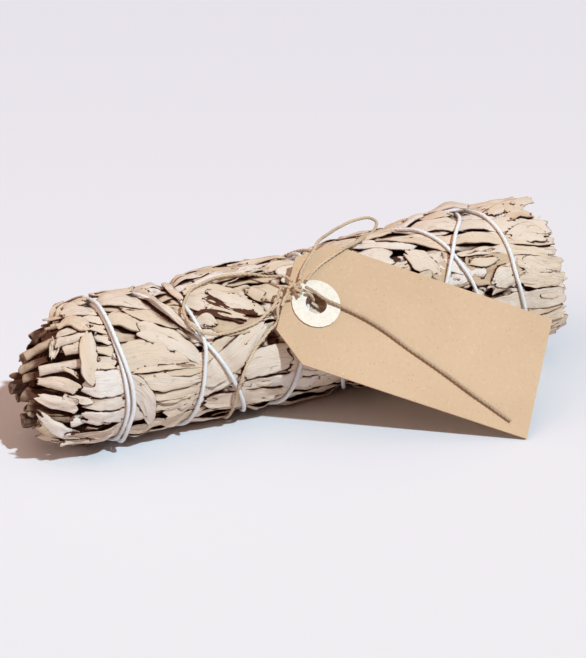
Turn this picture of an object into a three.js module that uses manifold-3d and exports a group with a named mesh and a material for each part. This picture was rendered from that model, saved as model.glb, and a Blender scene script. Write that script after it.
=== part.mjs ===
// Dried sage bunch, lying down: overlapping leaves round woody stems, wound criss-cross with
// cotton thread, and a card tag tied on with a bow of thin twine. Millimetres, +Z up.
// +X runs along the bunch from the cut stems to the leaf tips, and the origin is on the
// flat that it rests on, below the middle.
import * as THREE from 'three';
import { mergeVertices } from 'three/addons/utils/BufferGeometryUtils.js';
import Module from 'manifold-3d';

const wasm = await Module();
wasm.setup();

// ---- driving dimensions -------------------------------------------------------------------
const leafSpan = { left: -84, right: 103 }; // where the leaf mass ends, on the axis
const girth = { radius: 26.2, flare: 1.34, swell: 0.25 }; // flare and swell per 100 mm of x
const waist = { x: 8, depth: 0.75, reach: 22 }; // drawn in below the twine
const shoulder = { x: 66, rise: 0.85, reach: 22 };
const restSink = 0.7; // the leaves are pressed flat by this much
const core = { inset: 5.2, left: -70, right: 94, sides: 18, stations: 9 };
const lowerLeaves = { count: 26, length: [62, 88], halfWidth: [7.5, 10], sunk: [2.2, 3.4], thick: 4.5 };
const upperLeaves = { count: 44, length: [48, 82], halfWidth: [5, 8.6], sunk: [0.1, 2], thick: 4.6 };
const endLeaves = { rings: [[6.5, 3], [12.5, 6], [18, 8]], length: 26, halfWidth: 3.8, thick: 1.1 };
const scrolls = { count: 7, radius: [2.8, 4.2], wall: 0.9, length: 34, gap: 1.3 };
const thread = { radius: 0.8, rise: 0.85, sides: 6, degreesPerStep: 18 };
const twine = { radius: 0.62, sides: 8, step: 3.7 };
const tag = { length: 96, width: 48, thick: 0.6, chamfer: [12, 9.5], hole: [11.2, 23.6] };
const ring = { outer: 8.9, inner: 3.9, thick: 0.4 };
const gap = 0.3; // left between touching pieces
const floorGap = 0.4; // kept below thread and twine, which the flat chords of a tube use up
const evenSpread = [0.7548777, 0.5698403]; // steps that fill a surface evenly

// ---- small helpers ------------------------------------------------------------------------
function seeded(seed) {
  let state = seed;
  return () => {
    state = (state + 0x6d2b79f5) | 0;
    let mixed = Math.imul(state ^ (state >>> 15), 1 | state);
    mixed = (mixed + Math.imul(mixed ^ (mixed >>> 7), 61 | mixed)) ^ mixed;
    return ((mixed ^ (mixed >>> 14)) >>> 0) / 4294967296;
  };
}

const lerp = THREE.MathUtils.lerp;
const radians = THREE.MathUtils.degToRad;
const bell = (distance, reach) => Math.exp(-((distance / reach) ** 2));

function radiusAt(x) {
  const u = x / 100;
  return girth.radius + girth.flare * u + girth.swell * u * u
    - waist.depth * bell(x - waist.x, waist.reach) + shoulder.rise * bell(x - shoulder.x, shoulder.reach);
}

const axisHeight = (x) => radiusAt(x) - restSink;

// a point at so many degrees from the top, turning towards the front (-Y)
function around(x, degrees, r) {
  const angle = radians(degrees);
  return new THREE.Vector3(x, -r * Math.sin(angle), axisHeight(x) + r * Math.cos(angle));
}

function toSolid(geometry, tolerance = 1e-4) {
  const bare = geometry.clone();
  for (const name of Object.keys(bare.attributes)) {
    if (name !== 'position') bare.deleteAttribute(name);
  }
  const merged = mergeVertices(bare, tolerance);
  const triVerts = new Uint32Array(merged.index.array);
  const vertProperties = new Float32Array(merged.attributes.position.array);
  const solid = new wasm.Manifold(new wasm.Mesh({ numProp: 3, vertProperties, triVerts }));
  if (solid.volume() > 0) return solid;
  for (let i = 0; i < triVerts.length; i += 3) {
    [triVerts[i], triVerts[i + 1]] = [triVerts[i + 1], triVerts[i]];
  }
  return new wasm.Manifold(new wasm.Mesh({ numProp: 3, vertProperties, triVerts }));
}

function toGeometry(solid) {
  const mesh = solid.getMesh();
  const geometry = new THREE.BufferGeometry();
  geometry.setAttribute('position', new THREE.BufferAttribute(mesh.vertProperties, 3));
  geometry.setIndex(new THREE.BufferAttribute(mesh.triVerts, 1));
  return geometry;
}

// sealed hollows and loose scraps come apart here, and only the main body is kept
function mainBody(solid) {
  return solid.decompose().reduce((best, part) => (part.volume() > best.volume() ? part : best));
}

function joinAll(solids) {
  let layer = solids;
  while (layer.length > 1) {
    const next = [];
    for (let i = 0; i < layer.length; i += 2) {
      next.push(i + 1 < layer.length ? layer[i].add(layer[i + 1]) : layer[i]);
    }
    layer = next;
  }
  return layer[0];
}

// closed body between two like grids of points
function slab(rows, columns, outer, inner) {
  const positions = [];
  for (const face of [outer, inner]) {
    for (let i = 0; i <= rows; i += 1) {
      for (let j = 0; j <= columns; j += 1) positions.push(...face(i, j).toArray());
    }
  }
  const across = columns + 1;
  const back = (rows + 1) * across;
  const index = [];
  const quad = (a, b, c, d) => index.push(a, b, c, a, c, d);
  for (let i = 0; i < rows; i += 1) {
    for (let j = 0; j < columns; j += 1) {
      const a = i * across + j;
      quad(a, a + 1, a + across + 1, a + across);
      index.push(back + a, back + a + across + 1, back + a + 1);
      index.push(back + a, back + a + across, back + a + across + 1);
    }
  }
  const rim = [];
  for (let j = 0; j < columns; j += 1) rim.push(j);
  for (let i = 0; i < rows; i += 1) rim.push(i * across + columns);
  for (let j = columns; j > 0; j -= 1) rim.push(rows * across + j);
  for (let i = rows; i > 0; i -= 1) rim.push(i * across);
  rim.forEach((a, k) => {
    const b = rim[(k + 1) % rim.length];
    quad(a, back + a, back + b, b);
  });
  const geometry = new THREE.BufferGeometry();
  geometry.setAttribute('position', new THREE.Float32BufferAttribute(positions, 3));
  geometry.setIndex(index);
  return geometry;
}

function polygon(radius, sides) {
  const shape = new THREE.Shape();
  for (let k = 0; k < sides; k += 1) {
    const angle = (2 * Math.PI * (k + 0.5)) / sides;
    const corner = [radius * Math.cos(angle), radius * Math.sin(angle)];
    if (k === 0) shape.moveTo(...corner);
    else shape.lineTo(...corner);
  }
  return shape;
}

function tube(curve, radius, sides, steps) {
  return new THREE.ExtrudeGeometry(polygon(radius, sides), { extrudePath: curve, steps });
}

// ---- the card's place: its lower corner stands on the ground, its hole end leans on the leaves
const tagOrigin = new THREE.Vector3(-24.6, -31.8, 33.65);
const tagAlong = new THREE.Vector3(0.8381, -0.4229, -0.3446).normalize();
const tagOut = new THREE.Vector3().crossVectors(tagAlong, new THREE.Vector3(0.5428, 0.5831, 0.6045)).normalize();
const tagAcross = new THREE.Vector3().crossVectors(tagOut, tagAlong);
const tagFrame = new THREE.Matrix4().makeBasis(tagAlong, tagAcross, tagOut).setPosition(tagOrigin);

const onTag = (along, across, out) => new THREE.Vector3(along, across, out).applyMatrix4(tagFrame);

// ---- cotton thread: turns (degrees round the bunch) against x ------------------------------
const threadRoute = [
  // band round the stem end
  [-118, -80.5], [-60, -80], [7, -78.4], [46, -77.4], [79, -76.4], [104, -76.4], [117, -78],
  [180, -78.6], [270, -77.4], [367, -75.4], [406, -74.9], [439, -74.1], [466, -72.8], [490, -73.4],
  // out to the leaf tips
  [560, -71], [650, -65], [742, -58], [755, -53], [777, -45], [805, -38], [828, -33], [852, -29],
  [950, -20], [1060, -12], [1137, -3], [1195, 8], [1228, 14], [1330, 31], [1440, 48], [1471, 57],
  [1507, 61.5], [1570, 66], [1660, 72], [1750, 76.5], [1800, 78], [1852, 79], [1888, 80.5],
  [1960, 80.5], [2060, 76],
  // and back
  [2153, 69], [2191, 57], [2216, 50], [2270, 38], [2350, 22], [2440, 6], [2520, -3], [2575, -7],
  [2612, -10], [2640, -12.5], [2668, -16], [2740, -26], [2820, -43], [2862, -53], [2890, -55],
  [2907, -51.5], [2935, -46.2], [2965, -47], [3006, -50.5], [3070, -57], [3120, -64],
];

// sample the route evenly in turn, and lift a later strand over an earlier one
function threadPoints() {
  const fine = 4; // samples to each step of the tube
  const pairs = threadRoute.map(([turn, x]) => new THREE.Vector3(turn / 10, x, 0));
  const flat = new THREE.CatmullRomCurve3(pairs).getSpacedPoints(1600);
  const first = threadRoute[0][0];
  const last = threadRoute[threadRoute.length - 1][0];
  const steps = Math.round((last - first) / thread.degreesPerStep);
  const marks = [];
  let k = 0;
  for (let i = 0; i <= steps * fine; i += 1) {
    const turn = lerp(first, last, i / (steps * fine));
    while (k < flat.length - 2 && flat[k + 1].x * 10 < turn) k += 1;
    const part = (turn - flat[k].x * 10) / ((flat[k + 1].x - flat[k].x) * 10);
    marks.push({ turn, x: lerp(flat[k].y, flat[k + 1].y, part) });
  }
  const clear = 2 * thread.radius + 0.12;
  const lifts = marks.map((mark, i) => {
    let nearest = Infinity;
    for (let j = 0; j < i; j += 1) {
      if (mark.turn - marks[j].turn < 200) break;
      const turnGap = Math.abs(((mark.turn - marks[j].turn + 180) % 360) - 180);
      nearest = Math.min(nearest, Math.hypot(radians(turnGap) * girth.radius, mark.x - marks[j].x));
    }
    return clear * THREE.MathUtils.clamp(1 - (nearest - clear) / 1.5, 0, 1);
  });
  const points = [];
  for (let i = 0; i < marks.length; i += fine) {
    const over = Math.max(...lifts.slice(Math.max(0, i - fine + 1), i + fine));
    const { turn, x } = marks[i];
    const point = around(x, turn, radiusAt(x) + thread.rise + over);
    point.z = Math.max(point.z, thread.radius + floorGap);
    points.push(point);
  }
  return points;
}

const windingPoints = threadPoints();
const winding = new THREE.CatmullRomCurve3(windingPoints);
const windingTube = (radius, sides) => tube(winding, radius, sides, windingPoints.length - 1);

// ---- twine: routes as lists of points ------------------------------------------------------
const onLeaves = ([x, turn, rise]) => around(x, turn, radiusAt(x) + rise);
const onCard = (point) => onTag(...point);
const inAir = (point) => new THREE.Vector3(...point);

// once round the bunch, from the knot over the card's edge, and back up through the card's hole
const wrapRoute = [
  ...[[2.2, 22.2, 2.4], [0.4, 21, 1.9], [-0.9, 19.5, 1.5], [-1.7, 17.6, 0.9]].map(onCard),
  ...[[-17.4, 56, 2], [-21, 61, 1.5], [-24, 66, 1.5], [-27, 71, 1.5], [-30, 78, 1.9],
    [-32.5, 85, 2.6], [-34.2, 94, 2.6], [-35, 104, 1.8], [-34.6, 124, 1.1], [-34, 146, 0.9],
    [-33.2, 168, 0.9], [-32.4, 190, 0.9], [-31, 212, 1.2], [-28, 234, 2.7], [-22.5, 258, 2.8],
    [-15.5, 282, 2.7], [-8.5, 306, 2.2], [-0.5, 328, 2.6], [5.5, 347, 1.9], [7, 364, 1.2], [5, 378, 1.1],
    [2, 392, 0.9], [-1.4, 402, 1]].map(onLeaves),
  ...[[10.4, 25.2, -1.1], [9.4, 25.4, 0.8], [8, 25.6, 2.1], [6.3, 25.7, 3]].map(onCard),
];

const rightLoopRoute = [
  ...[[3, 29.2, 3], [3.1, 33, 2.4], [4, 37.6, 2.1], [5.4, 42.4, 2.3]].map(onCard),
  ...[[6, -7.5, 60.1], [13.4, -0.8, 59.1], [21.3, 5, 58.2], [28.8, 9, 57.6], [36.7, 11.5, 56.2],
    [39.3, 11, 54.5], [38, 8.5, 53.9], [34.9, 5, 53.7], [29.3, 1.5, 53.6], [23.8, -3, 54.5],
    [18.8, -8.3, 56.6]].map(inAir),
  ...[[15.8, 47.2, 1.7], [12.6, 43.2, 1.5], [9.4, 38.8, 1.4], [6.9, 34, 2], [5.4, 29.8, 3]].map(onCard),
];

const leftLoopRoute = [
  ...[[0.6, 27.6, 3], [-1.8, 29, 2.4]].map(onCard),
  ...[[-15.5, 20, 3.2], [-19, 12.5, 2], [-23.5, 8.5, 1.7], [-29, 6.5, 1.6], [-34, 7.5, 1.7], [-39, 11.5, 2],
    [-43.5, 16.5, 2.8], [-47, 24, 3.2], [-49.8, 32, 3.4], [-50.3, 40, 3.6], [-49, 47.5, 4.2], [-46, 53, 4.4],
    [-42, 55.5, 3.5], [-36, 56, 2], [-30, 55, 1.6], [-25, 53, 1.8], [-20.6, 48.4, 2.8], [-16.6, 43, 4]].map(onLeaves),
  ...[[-2.4, 24.4, 3.2], [0.4, 25, 3.5]].map(onCard),
];

const tailRoute = [
  [5.6, 27.3, 3.2], [9, 26.9, 2.7], [12.5, 25.9, 2.2], [16, 25.4, 2.1], [20, 25.2, 1.9], [26.1, 24.5, 1.6],
  [35.2, 22.5, 1.5], [47.5, 18.2, 1.4], [59.7, 14.2, 1.4], [72.1, 9.7, 1.5], [80.5, 6.9, 1.4], [88.8, 4.1, 1.3],
].map(onCard);

const shortEndRoute = [
  [0.6, 23.4, 3.2], [-0.2, 21.6, 3.4], [-0.6, 19.6, 3.2], [-0.6, 17.6, 2.8],
].map(onCard);

const cordCurve = (points) => {
  for (const point of points) point.z = Math.max(point.z, twine.radius + floorGap);
  return new THREE.CatmullRomCurve3(points);
};

function cordTube(points, radius = twine.radius) {
  const curve = cordCurve(points);
  return tube(curve, radius, twine.sides, Math.ceil(curve.getLength() / twine.step));
}

// ---- the knot: the strands pass round and through one another ------------------------------
function knotSolid() {
  const turn = (along, across, out, tilt, spin, size) => {
    const loop = new THREE.TorusGeometry(size, twine.radius * 1.1, 6, 10);
    loop.applyMatrix4(new THREE.Matrix4().makeRotationX(tilt));
    loop.applyMatrix4(new THREE.Matrix4().makeRotationZ(spin));
    loop.applyMatrix4(new THREE.Matrix4().setPosition(along, across, out));
    return toSolid(loop.applyMatrix4(tagFrame));
  };
  return joinAll([
    turn(3.3, 25.4, 3.1, 1.2, 0.5, 1.15),
    turn(2.9, 26.3, 3.1, 0.7, 1.9, 1.1),
    turn(3.5, 24.4, 3, 1.4, -0.5, 1),
  ]);
}

// ---- leaves ---------------------------------------------------------------------------------
// the stem end is cut back towards the top and far side, the leaf-tip end is nearly plane
const leftEdge = (degrees) => leafSpan.left - 9 * Math.cos(radians(degrees - 130));
const rightEdge = (degrees) => leafSpan.right + 1.5 * Math.cos(radians(degrees + 30));

function pinch(x, degrees) {
  let nearest = Infinity;
  for (const point of windingPoints) {
    const surface = around(x, degrees, radiusAt(x));
    nearest = Math.min(nearest, surface.distanceTo(point));
  }
  return 1.2 * bell(nearest - 0.8, 3);
}

// one leaf: a blade of so many rows, folded at its rib, narrowed to its tips
function leafBlade({ x, turn, length, halfWidth, skew, height, fold, thick, tipLift, rows, columns }) {
  const left = leftEdge(turn);
  const right = rightEdge(turn);
  const start = Math.max(x - length / 2, left);
  const end = Math.min(x + length / 2, right);
  const spot = (i, j, depth) => {
    const place = lerp(start, end, i / rows);
    const s = THREE.MathUtils.clamp((place - x) / length + 0.5, 0, 1);
    const width = halfWidth * (0.12 + 0.88 * Math.sin(Math.PI * s ** 0.85) ** 0.7);
    const side = columns === 1 ? 2 * j - 1 : [-1, fold.rib, 1][j];
    const lean = (Math.tan(radians(skew)) * (place - x)) / girth.radius;
    const degrees = turn + THREE.MathUtils.radToDeg(lean + (side * width) / girth.radius);
    const edge = columns === 1 || j !== 1 ? -fold.drop * (j === 0 ? 1 : 0.4) : fold.rise;
    const lift = tipLift * Math.abs(2 * s - 1) ** 3;
    const r = radiusAt(place) - height + edge + lift - pinch(place, degrees);
    return around(place, degrees, r - depth);
  };
  return toSolid(slab(rows, columns, (i, j) => spot(i, j, 0), (i, j) => spot(i, j, thick)));
}

function leafLayer(seed, leaves, rows, columns, tipLift) {
  const draw = seeded(seed);
  const solids = [];
  for (let k = 0; k < leaves.count; k += 1) {
    const across = (k * evenSpread[0] + 0.08 * draw()) % 1;
    solids.push(leafBlade({
      x: lerp(leafSpan.left + 12, leafSpan.right - 12, across),
      turn: 360 * k * evenSpread[1] + 20 * (draw() - 0.5),
      length: lerp(...leaves.length, draw()),
      halfWidth: lerp(...leaves.halfWidth, draw()),
      skew: 26 * (draw() - 0.5),
      height: lerp(...leaves.sunk, draw()),
      fold: { rib: 1.1 * (draw() - 0.5), rise: 0.4 * draw(), drop: 0.9 * draw() },
      thick: leaves.thick,
      tipLift: tipLift * draw(),
      rows,
      columns,
    }));
  }
  return solids;
}

// blades packed inside both ends, so that the cuts show layer on layer
function endBlades(seed) {
  const draw = seeded(seed);
  const solids = [];
  for (const toLeft of [true, false]) {
    for (const [r, count] of endLeaves.rings) {
      for (let k = 0; k < count; k += 1) {
        const turn = ((k + 0.7 * draw()) * 360) / count;
        const reach = toLeft ? 13 * (1 - (r / girth.radius) ** 2) + 4 * draw() : -1 - 3 * draw();
        const tip = toLeft ? leftEdge(turn) - reach : rightEdge(turn) + reach;
        const root = toLeft ? tip + endLeaves.length : tip - endLeaves.length;
        const tilt = 34 * (draw() - 0.5);
        const bend = 1.2 * (draw() - 0.5);
        const spot = (i, j, depth) => {
          const centre = around(i ? tip : root, turn, r);
          const side = (j - 1) * endLeaves.halfWidth;
          const angle = radians(turn + tilt);
          const out = depth + (j === 1 ? bend : 0);
          centre.y += -side * Math.cos(angle) - out * Math.sin(angle);
          centre.z += -side * Math.sin(angle) + out * Math.cos(angle);
          return centre;
        };
        solids.push(toSolid(slab(1, 2, (i, j) => spot(i, j, endLeaves.thick), (i, j) => spot(i, j, 0))));
      }
    }
  }
  return solids;
}

// leaves rolled into tubes, open at the stem end
function rolledLeaves(seed) {
  const draw = seeded(seed);
  const solids = [];
  for (let k = 0; k < scrolls.count; k += 1) {
    const radius = lerp(...scrolls.radius, draw());
    const turn = 30 + (k * 360) / scrolls.count + 18 * (draw() - 0.5);
    const out = k % 2 ? 10 : 18.5;
    const start = Math.PI * 2 * draw();
    const shape = new THREE.Shape();
    shape.absarc(0, 0, radius, start, start + 2 * Math.PI - scrolls.gap, false);
    shape.absarc(0, 0, radius - scrolls.wall, start + 2 * Math.PI - scrolls.gap, start, true);
    const roll = new THREE.ExtrudeGeometry(shape, { depth: scrolls.length, bevelEnabled: false, curveSegments: 5 });
    const tip = leftEdge(turn) - 3 - (out < 15 ? 11 : 3) * draw();
    const centre = around(tip, turn, out);
    roll.rotateY(Math.PI / 2);
    roll.translate(centre.x, centre.y, centre.z);
    solids.push(toSolid(roll));
  }
  return solids;
}

function coreSolid() {
  const rows = core.stations;
  const rings = [];
  for (let i = 0; i <= rows; i += 1) {
    const x = lerp(core.left, core.right, i / rows);
    for (let k = 0; k < core.sides; k += 1) {
      rings.push(...around(x, (k * 360) / core.sides, radiusAt(x) - core.inset).toArray());
    }
  }
  const index = [];
  for (let i = 0; i < rows; i += 1) {
    for (let k = 0; k < core.sides; k += 1) {
      const a = i * core.sides + k;
      const b = i * core.sides + ((k + 1) % core.sides);
      index.push(a, b, b + core.sides, a, b + core.sides, a + core.sides);
    }
  }
  for (let k = 1; k < core.sides - 1; k += 1) {
    const last = rows * core.sides;
    index.push(0, k + 1, k, last, last + k, last + k + 1);
  }
  const geometry = new THREE.BufferGeometry();
  geometry.setAttribute('position', new THREE.Float32BufferAttribute(rings, 3));
  geometry.setIndex(index);
  return toSolid(geometry);
}

// ---- woody stems: where each cut end stands (x, y, z), its radius and its lean ---------------
const stems = [
  [-108.5, 2, 23.5, 2.3], [-107.5, -6.5, 14.8, 2.4], [-104.5, 8, 15.5, 1.9], [-103, -2.5, 33.5, 2.1],
  [-101.5, -12.5, 24.5, 2], [-100.5, 11, 28, 2.2], [-104, 1.5, 8.5, 1.8],
];
const stemLength = 42;

function stemGeometry([x, y, z, radius], extra = 0) {
  const body = new THREE.CylinderGeometry(radius * 0.94 + extra, radius + extra, stemLength + extra, 8);
  const slope = 0.055;
  body.rotateZ(-Math.PI / 2);
  body.rotateY((slope * y) / 10);
  body.translate(x + stemLength / 2 + extra / 2, y * 0.94, z + (25 - z) * 0.03);
  return body;
}

// ---- card tag and its reinforcing rings ------------------------------------------------------
function tagShape() {
  const [cutAlong, cutAcross] = tag.chamfer;
  const shape = new THREE.Shape();
  shape.moveTo(cutAlong, 0);
  shape.lineTo(tag.length, 0);
  shape.lineTo(tag.length, tag.width);
  shape.lineTo(cutAlong, tag.width);
  shape.lineTo(0, tag.width - cutAcross);
  shape.lineTo(0, cutAcross);
  shape.closePath();
  return shape;
}

function withHole(shape, radius) {
  const hole = new THREE.Path();
  hole.absarc(...tag.hole, radius, 0, 2 * Math.PI, true);
  shape.holes.push(hole);
  return shape;
}

function card(grow = 0) {
  const shape = grow ? tagShape() : withHole(tagShape(), ring.inner);
  const depth = tag.thick + 2 * grow;
  const sheet = new THREE.ExtrudeGeometry(shape, { depth, bevelEnabled: false, curveSegments: 12 });
  sheet.translate(0, 0, -depth / 2);
  return sheet.applyMatrix4(tagFrame);
}

function washer() {
  const shape = new THREE.Shape();
  shape.absarc(...tag.hole, ring.outer, 0, 2 * Math.PI, false);
  const disc = new THREE.ExtrudeGeometry(withHole(shape, ring.inner), {
    depth: ring.thick, bevelEnabled: false, curveSegments: 12,
  });
  disc.translate(0, 0, tag.thick / 2 + gap);
  return disc.applyMatrix4(tagFrame);
}

// ---- the leaf mass, with everything that lies in or on it cut clear --------------------------
function leafMass() {
  const base = leafBlade({ // the leaf pressed flat below the middle
    x: 0, turn: 180, length: 60, halfWidth: 8, skew: 0, height: -0.4, thick: 5, tipLift: 0, rows: 4, columns: 2,
    fold: { rib: 0, rise: 0, drop: 0 },
  });
  const grown = joinAll([
    coreSolid(), base,
    ...leafLayer(11, lowerLeaves, 3, 1, 0.6),
    ...leafLayer(29, upperLeaves, 3, 2, 1),
    ...endBlades(47), ...rolledLeaves(5),
  ]);
  const ground = new THREE.BoxGeometry(400, 200, 40);
  ground.translate(0, 0, -20);
  const cuts = joinAll([
    toSolid(ground),
    toSolid(windingTube(thread.radius + gap + 0.05, 5)),
    toSolid(cordTube(wrapRoute, twine.radius + gap + 0.05)),
    toSolid(cordTube(leftLoopRoute, twine.radius + gap)),
    toSolid(cordTube(rightLoopRoute, twine.radius + gap)),
    toSolid(card(gap)),
    ...stems.map((stem) => toSolid(stemGeometry(stem, gap))),
  ]);
  const body = mainBody(grown.subtract(cuts)).simplify(0.03);
  return mainBody(toSolid(toGeometry(body), 2e-3));
}

// ---- assembly ---------------------------------------------------------------------------------
const finish = (color, roughness) => new THREE.MeshStandardMaterial({ color, roughness, metalness: 0 });
const looks = {
  leaf: finish(0xd9c9b6, 0.9),
  wood: finish(0x5a3a2a, 0.85),
  cotton: finish(0xf0edea, 0.8),
  kraft: finish(0xe2bf94, 0.85),
  cream: finish(0xf8f2e2, 0.7),
  jute: finish(0xc8a67e, 0.9),
};

const bunch = new THREE.Group();

function place(name, geometry, material) {
  const mesh = new THREE.Mesh(geometry, material);
  mesh.name = name;
  bunch.add(mesh);
}

place('sage_leaves', toGeometry(leafMass()), looks.leaf);
stems.forEach((stem, k) => place(`woody_stem_${k + 1}`, stemGeometry(stem), looks.wood));
place('cotton_thread', windingTube(thread.radius, thread.sides), looks.cotton);
place('paper_tag', card(), looks.kraft);
place('tag_ring', washer(), looks.cream);

const knot = knotSolid();
place('twine_knot', toGeometry(knot), looks.jute);
const cords = {
  twine_wrap: wrapRoute, twine_loop_right: rightLoopRoute, twine_loop_left: leftLoopRoute,
  twine_tail: tailRoute, twine_short_end: shortEndRoute,
};
for (const [name, route] of Object.entries(cords)) place(name, cordTube(route), looks.jute);

export default bunch;
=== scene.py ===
import bpy
import math
import numpy as np
from functools import partial, reduce
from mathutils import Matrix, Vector
from mathutils.kdtree import KDTree


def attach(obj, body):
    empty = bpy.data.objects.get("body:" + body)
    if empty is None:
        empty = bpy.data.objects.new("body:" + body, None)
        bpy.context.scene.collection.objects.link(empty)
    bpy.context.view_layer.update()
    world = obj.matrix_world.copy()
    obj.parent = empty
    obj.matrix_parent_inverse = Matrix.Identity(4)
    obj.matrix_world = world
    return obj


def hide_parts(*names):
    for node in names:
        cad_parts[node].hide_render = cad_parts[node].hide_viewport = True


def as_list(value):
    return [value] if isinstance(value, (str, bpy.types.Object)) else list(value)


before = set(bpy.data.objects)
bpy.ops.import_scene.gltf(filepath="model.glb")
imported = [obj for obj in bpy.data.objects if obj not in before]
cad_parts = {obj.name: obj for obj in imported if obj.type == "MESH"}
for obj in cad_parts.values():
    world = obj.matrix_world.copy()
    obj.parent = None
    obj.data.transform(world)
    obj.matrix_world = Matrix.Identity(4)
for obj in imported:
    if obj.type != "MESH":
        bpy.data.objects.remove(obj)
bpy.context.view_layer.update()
print("sage bunch: frame loaded")

# Lengths below are millimetres, and every mesh is written in metres.
# +X runs from the cut stems to the leaf tips, and turn is in degrees from the top, towards the front.
metresPerMm = 0.001

view = {
    "location": (-377.208, -763.519, 439.260),
    "target": (0, 0, 24),
    "sensorWidth": 36,
    "lens": 160.94,
    "nearest": 0.05, "farthest": 50,  # metres
}


def addCamera():
    data = bpy.data.cameras.new("camera")
    data.sensor_fit = "HORIZONTAL"
    data.sensor_width = view["sensorWidth"]
    data.lens = view["lens"]
    data.clip_start = view["nearest"]
    data.clip_end = view["farthest"]
    camera = bpy.data.objects.new("camera", data)
    bpy.context.scene.collection.objects.link(camera)
    place = Vector(view["location"]) * metresPerMm
    aim = Vector(view["target"]) * metresPerMm - place
    camera.location = place
    camera.rotation_euler = aim.to_track_quat("-Z", "Y").to_euler()
    bpy.context.scene.camera = camera


addCamera()

# the bunch's own shape
bunch = {
    "left": -85.5, "right": 100,
    "radius": 26.2, "flare": 1.34, "swell": 0.25,  # flare and swell per 100 mm of x
    "waistX": 8, "waistDepth": 0.75, "waistReach": 22,
    "shoulderX": 66, "shoulderRise": 0.85, "shoulderReach": 22,
    "restSink": 0.7,
    "leftSlant": 0.8, "leftSlantTurn": 130,
    "rightSlant": 4.6, "rightSlantTurn": 215,
    "crown": 21, "crownPower": 2.5,  # the middle of the stem end stands out by this much
    "deepest": 20, "endDepths": (0.8, 0.45),  # how far depth counts, and its share from each end
}


def bell(distance, reach):
    return np.exp(-((distance / reach) ** 2))


def radiusAt(x):
    u = x / 100
    return (bunch["radius"] + bunch["flare"] * u + bunch["swell"] * u * u
            - bunch["waistDepth"] * bell(x - bunch["waistX"], bunch["waistReach"])
            + bunch["shoulderRise"] * bell(x - bunch["shoulderX"], bunch["shoulderReach"]))


def axisHeight(x):
    return radiusAt(x) - bunch["restSink"]


def around(x, turn, r):
    angle = np.radians(turn)
    x, r, angle = np.broadcast_arrays(np.asarray(x, float), np.asarray(r, float), angle)
    return np.stack([x, -r * np.sin(angle), axisHeight(x) + r * np.cos(angle)], axis=-1)


def leftEdge(turn):
    return bunch["left"] - bunch["leftSlant"] * np.cos(np.radians(turn - bunch["leftSlantTurn"]))


def stemEndAt(turn, share):
    # where the stem end's rounded face stands, at a share of the radius
    return leftEdge(turn) - bunch["crown"] * (1 - np.clip(share, 0, 1) ** bunch["crownPower"])


def rightEdge(turn):
    return bunch["right"] + bunch["rightSlant"] * np.cos(np.radians(turn - bunch["rightSlantTurn"]))


def lerp(low, high, part):
    return low + (high - low) * part


def halfTurn(degrees):
    # the same turn as -180 to 180
    return (degrees + 180) % 360 - 180


def seeded(seed):
    # even draws from 0 to 1, the same ones as the solids' own leaves
    bits32, step = 0xFFFFFFFF, 0x6D2B79F5
    state = [seed & bits32]

    def draw():
        state[0] = (state[0] + step) & bits32
        mixed = state[0]
        mixed = ((mixed ^ (mixed >> 15)) * (1 | mixed)) & bits32
        mixed = ((mixed + (((mixed ^ (mixed >> 7)) * (61 | mixed)) & bits32)) ^ mixed) & bits32
        return ((mixed ^ (mixed >> 14)) & bits32) / (bits32 + 1)
    return draw


def jitter(draw, width, middle=0.5):
    # one draw, spread over the width about the middle
    return width * (draw() - middle)


# the card's own directions, and the routes of the thread and the twine
card = {
    "origin": (-24.6, -31.8, 33.65),
    "along": (0.8381, -0.4229, -0.3446), "across": (0.5428, 0.5831, 0.6045),
    "length": 96, "width": 48, "chamfer": (12, 9.5),
}
cardAlong = np.array(card["along"]) / np.linalg.norm(card["along"])
cardOut = np.cross(cardAlong, card["across"])
cardOut /= np.linalg.norm(cardOut)
cardAcross = np.cross(cardOut, cardAlong)
cardOrigin = np.array(card["origin"], float)


def onCard(points):
    # points as (along, across, out from the card)
    a, b, c = np.moveaxis(np.asarray(points, float)[..., None], -2, 0)
    return cardOrigin + a * cardAlong + b * cardAcross + c * cardOut


def onLeaves(points):
    points = np.asarray(points, float)
    return around(points[:, 0], points[:, 1], radiusAt(points[:, 0]) + points[:, 2])


def smoothCurve(points, perSpan=24):
    # centripetal Catmull-Rom through the points
    points = np.asarray(points, float)
    ends = np.vstack([2 * points[0] - points[1], points, 2 * points[-1] - points[-2]])
    spans = []
    t = np.linspace(0, 1, perSpan, endpoint=False)[:, None]
    for i in range(1, len(ends) - 2):
        p0, p1, p2, p3 = ends[i - 1:i + 3]
        d0, d1, d2 = (max(np.linalg.norm(b - a), 1e-6) ** 0.5 for a, b in ((p0, p1), (p1, p2), (p2, p3)))
        t1 = ((p1 - p0) / d0 - (p2 - p0) / (d0 + d1) + (p2 - p1) / d1) * d1
        t2 = ((p2 - p1) / d1 - (p3 - p1) / (d1 + d2) + (p3 - p2) / d2) * d1
        squared, cubed = 3 * (p2 - p1) - 2 * t1 - t2, 2 * (p1 - p2) + t1 + t2
        spans.append(p1 + t1 * t + squared * t ** 2 + cubed * t ** 3)
    return np.vstack(spans + [points[-1:]])


def evenPoints(points, step):
    lengths = np.concatenate([[0], np.cumsum(np.linalg.norm(np.diff(points, axis=0), axis=1))])
    marks = np.linspace(0, lengths[-1], max(2, int(round(lengths[-1] / step)) + 1))
    return np.stack([np.interp(marks, lengths, points[:, k]) for k in range(3)], axis=1)


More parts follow.
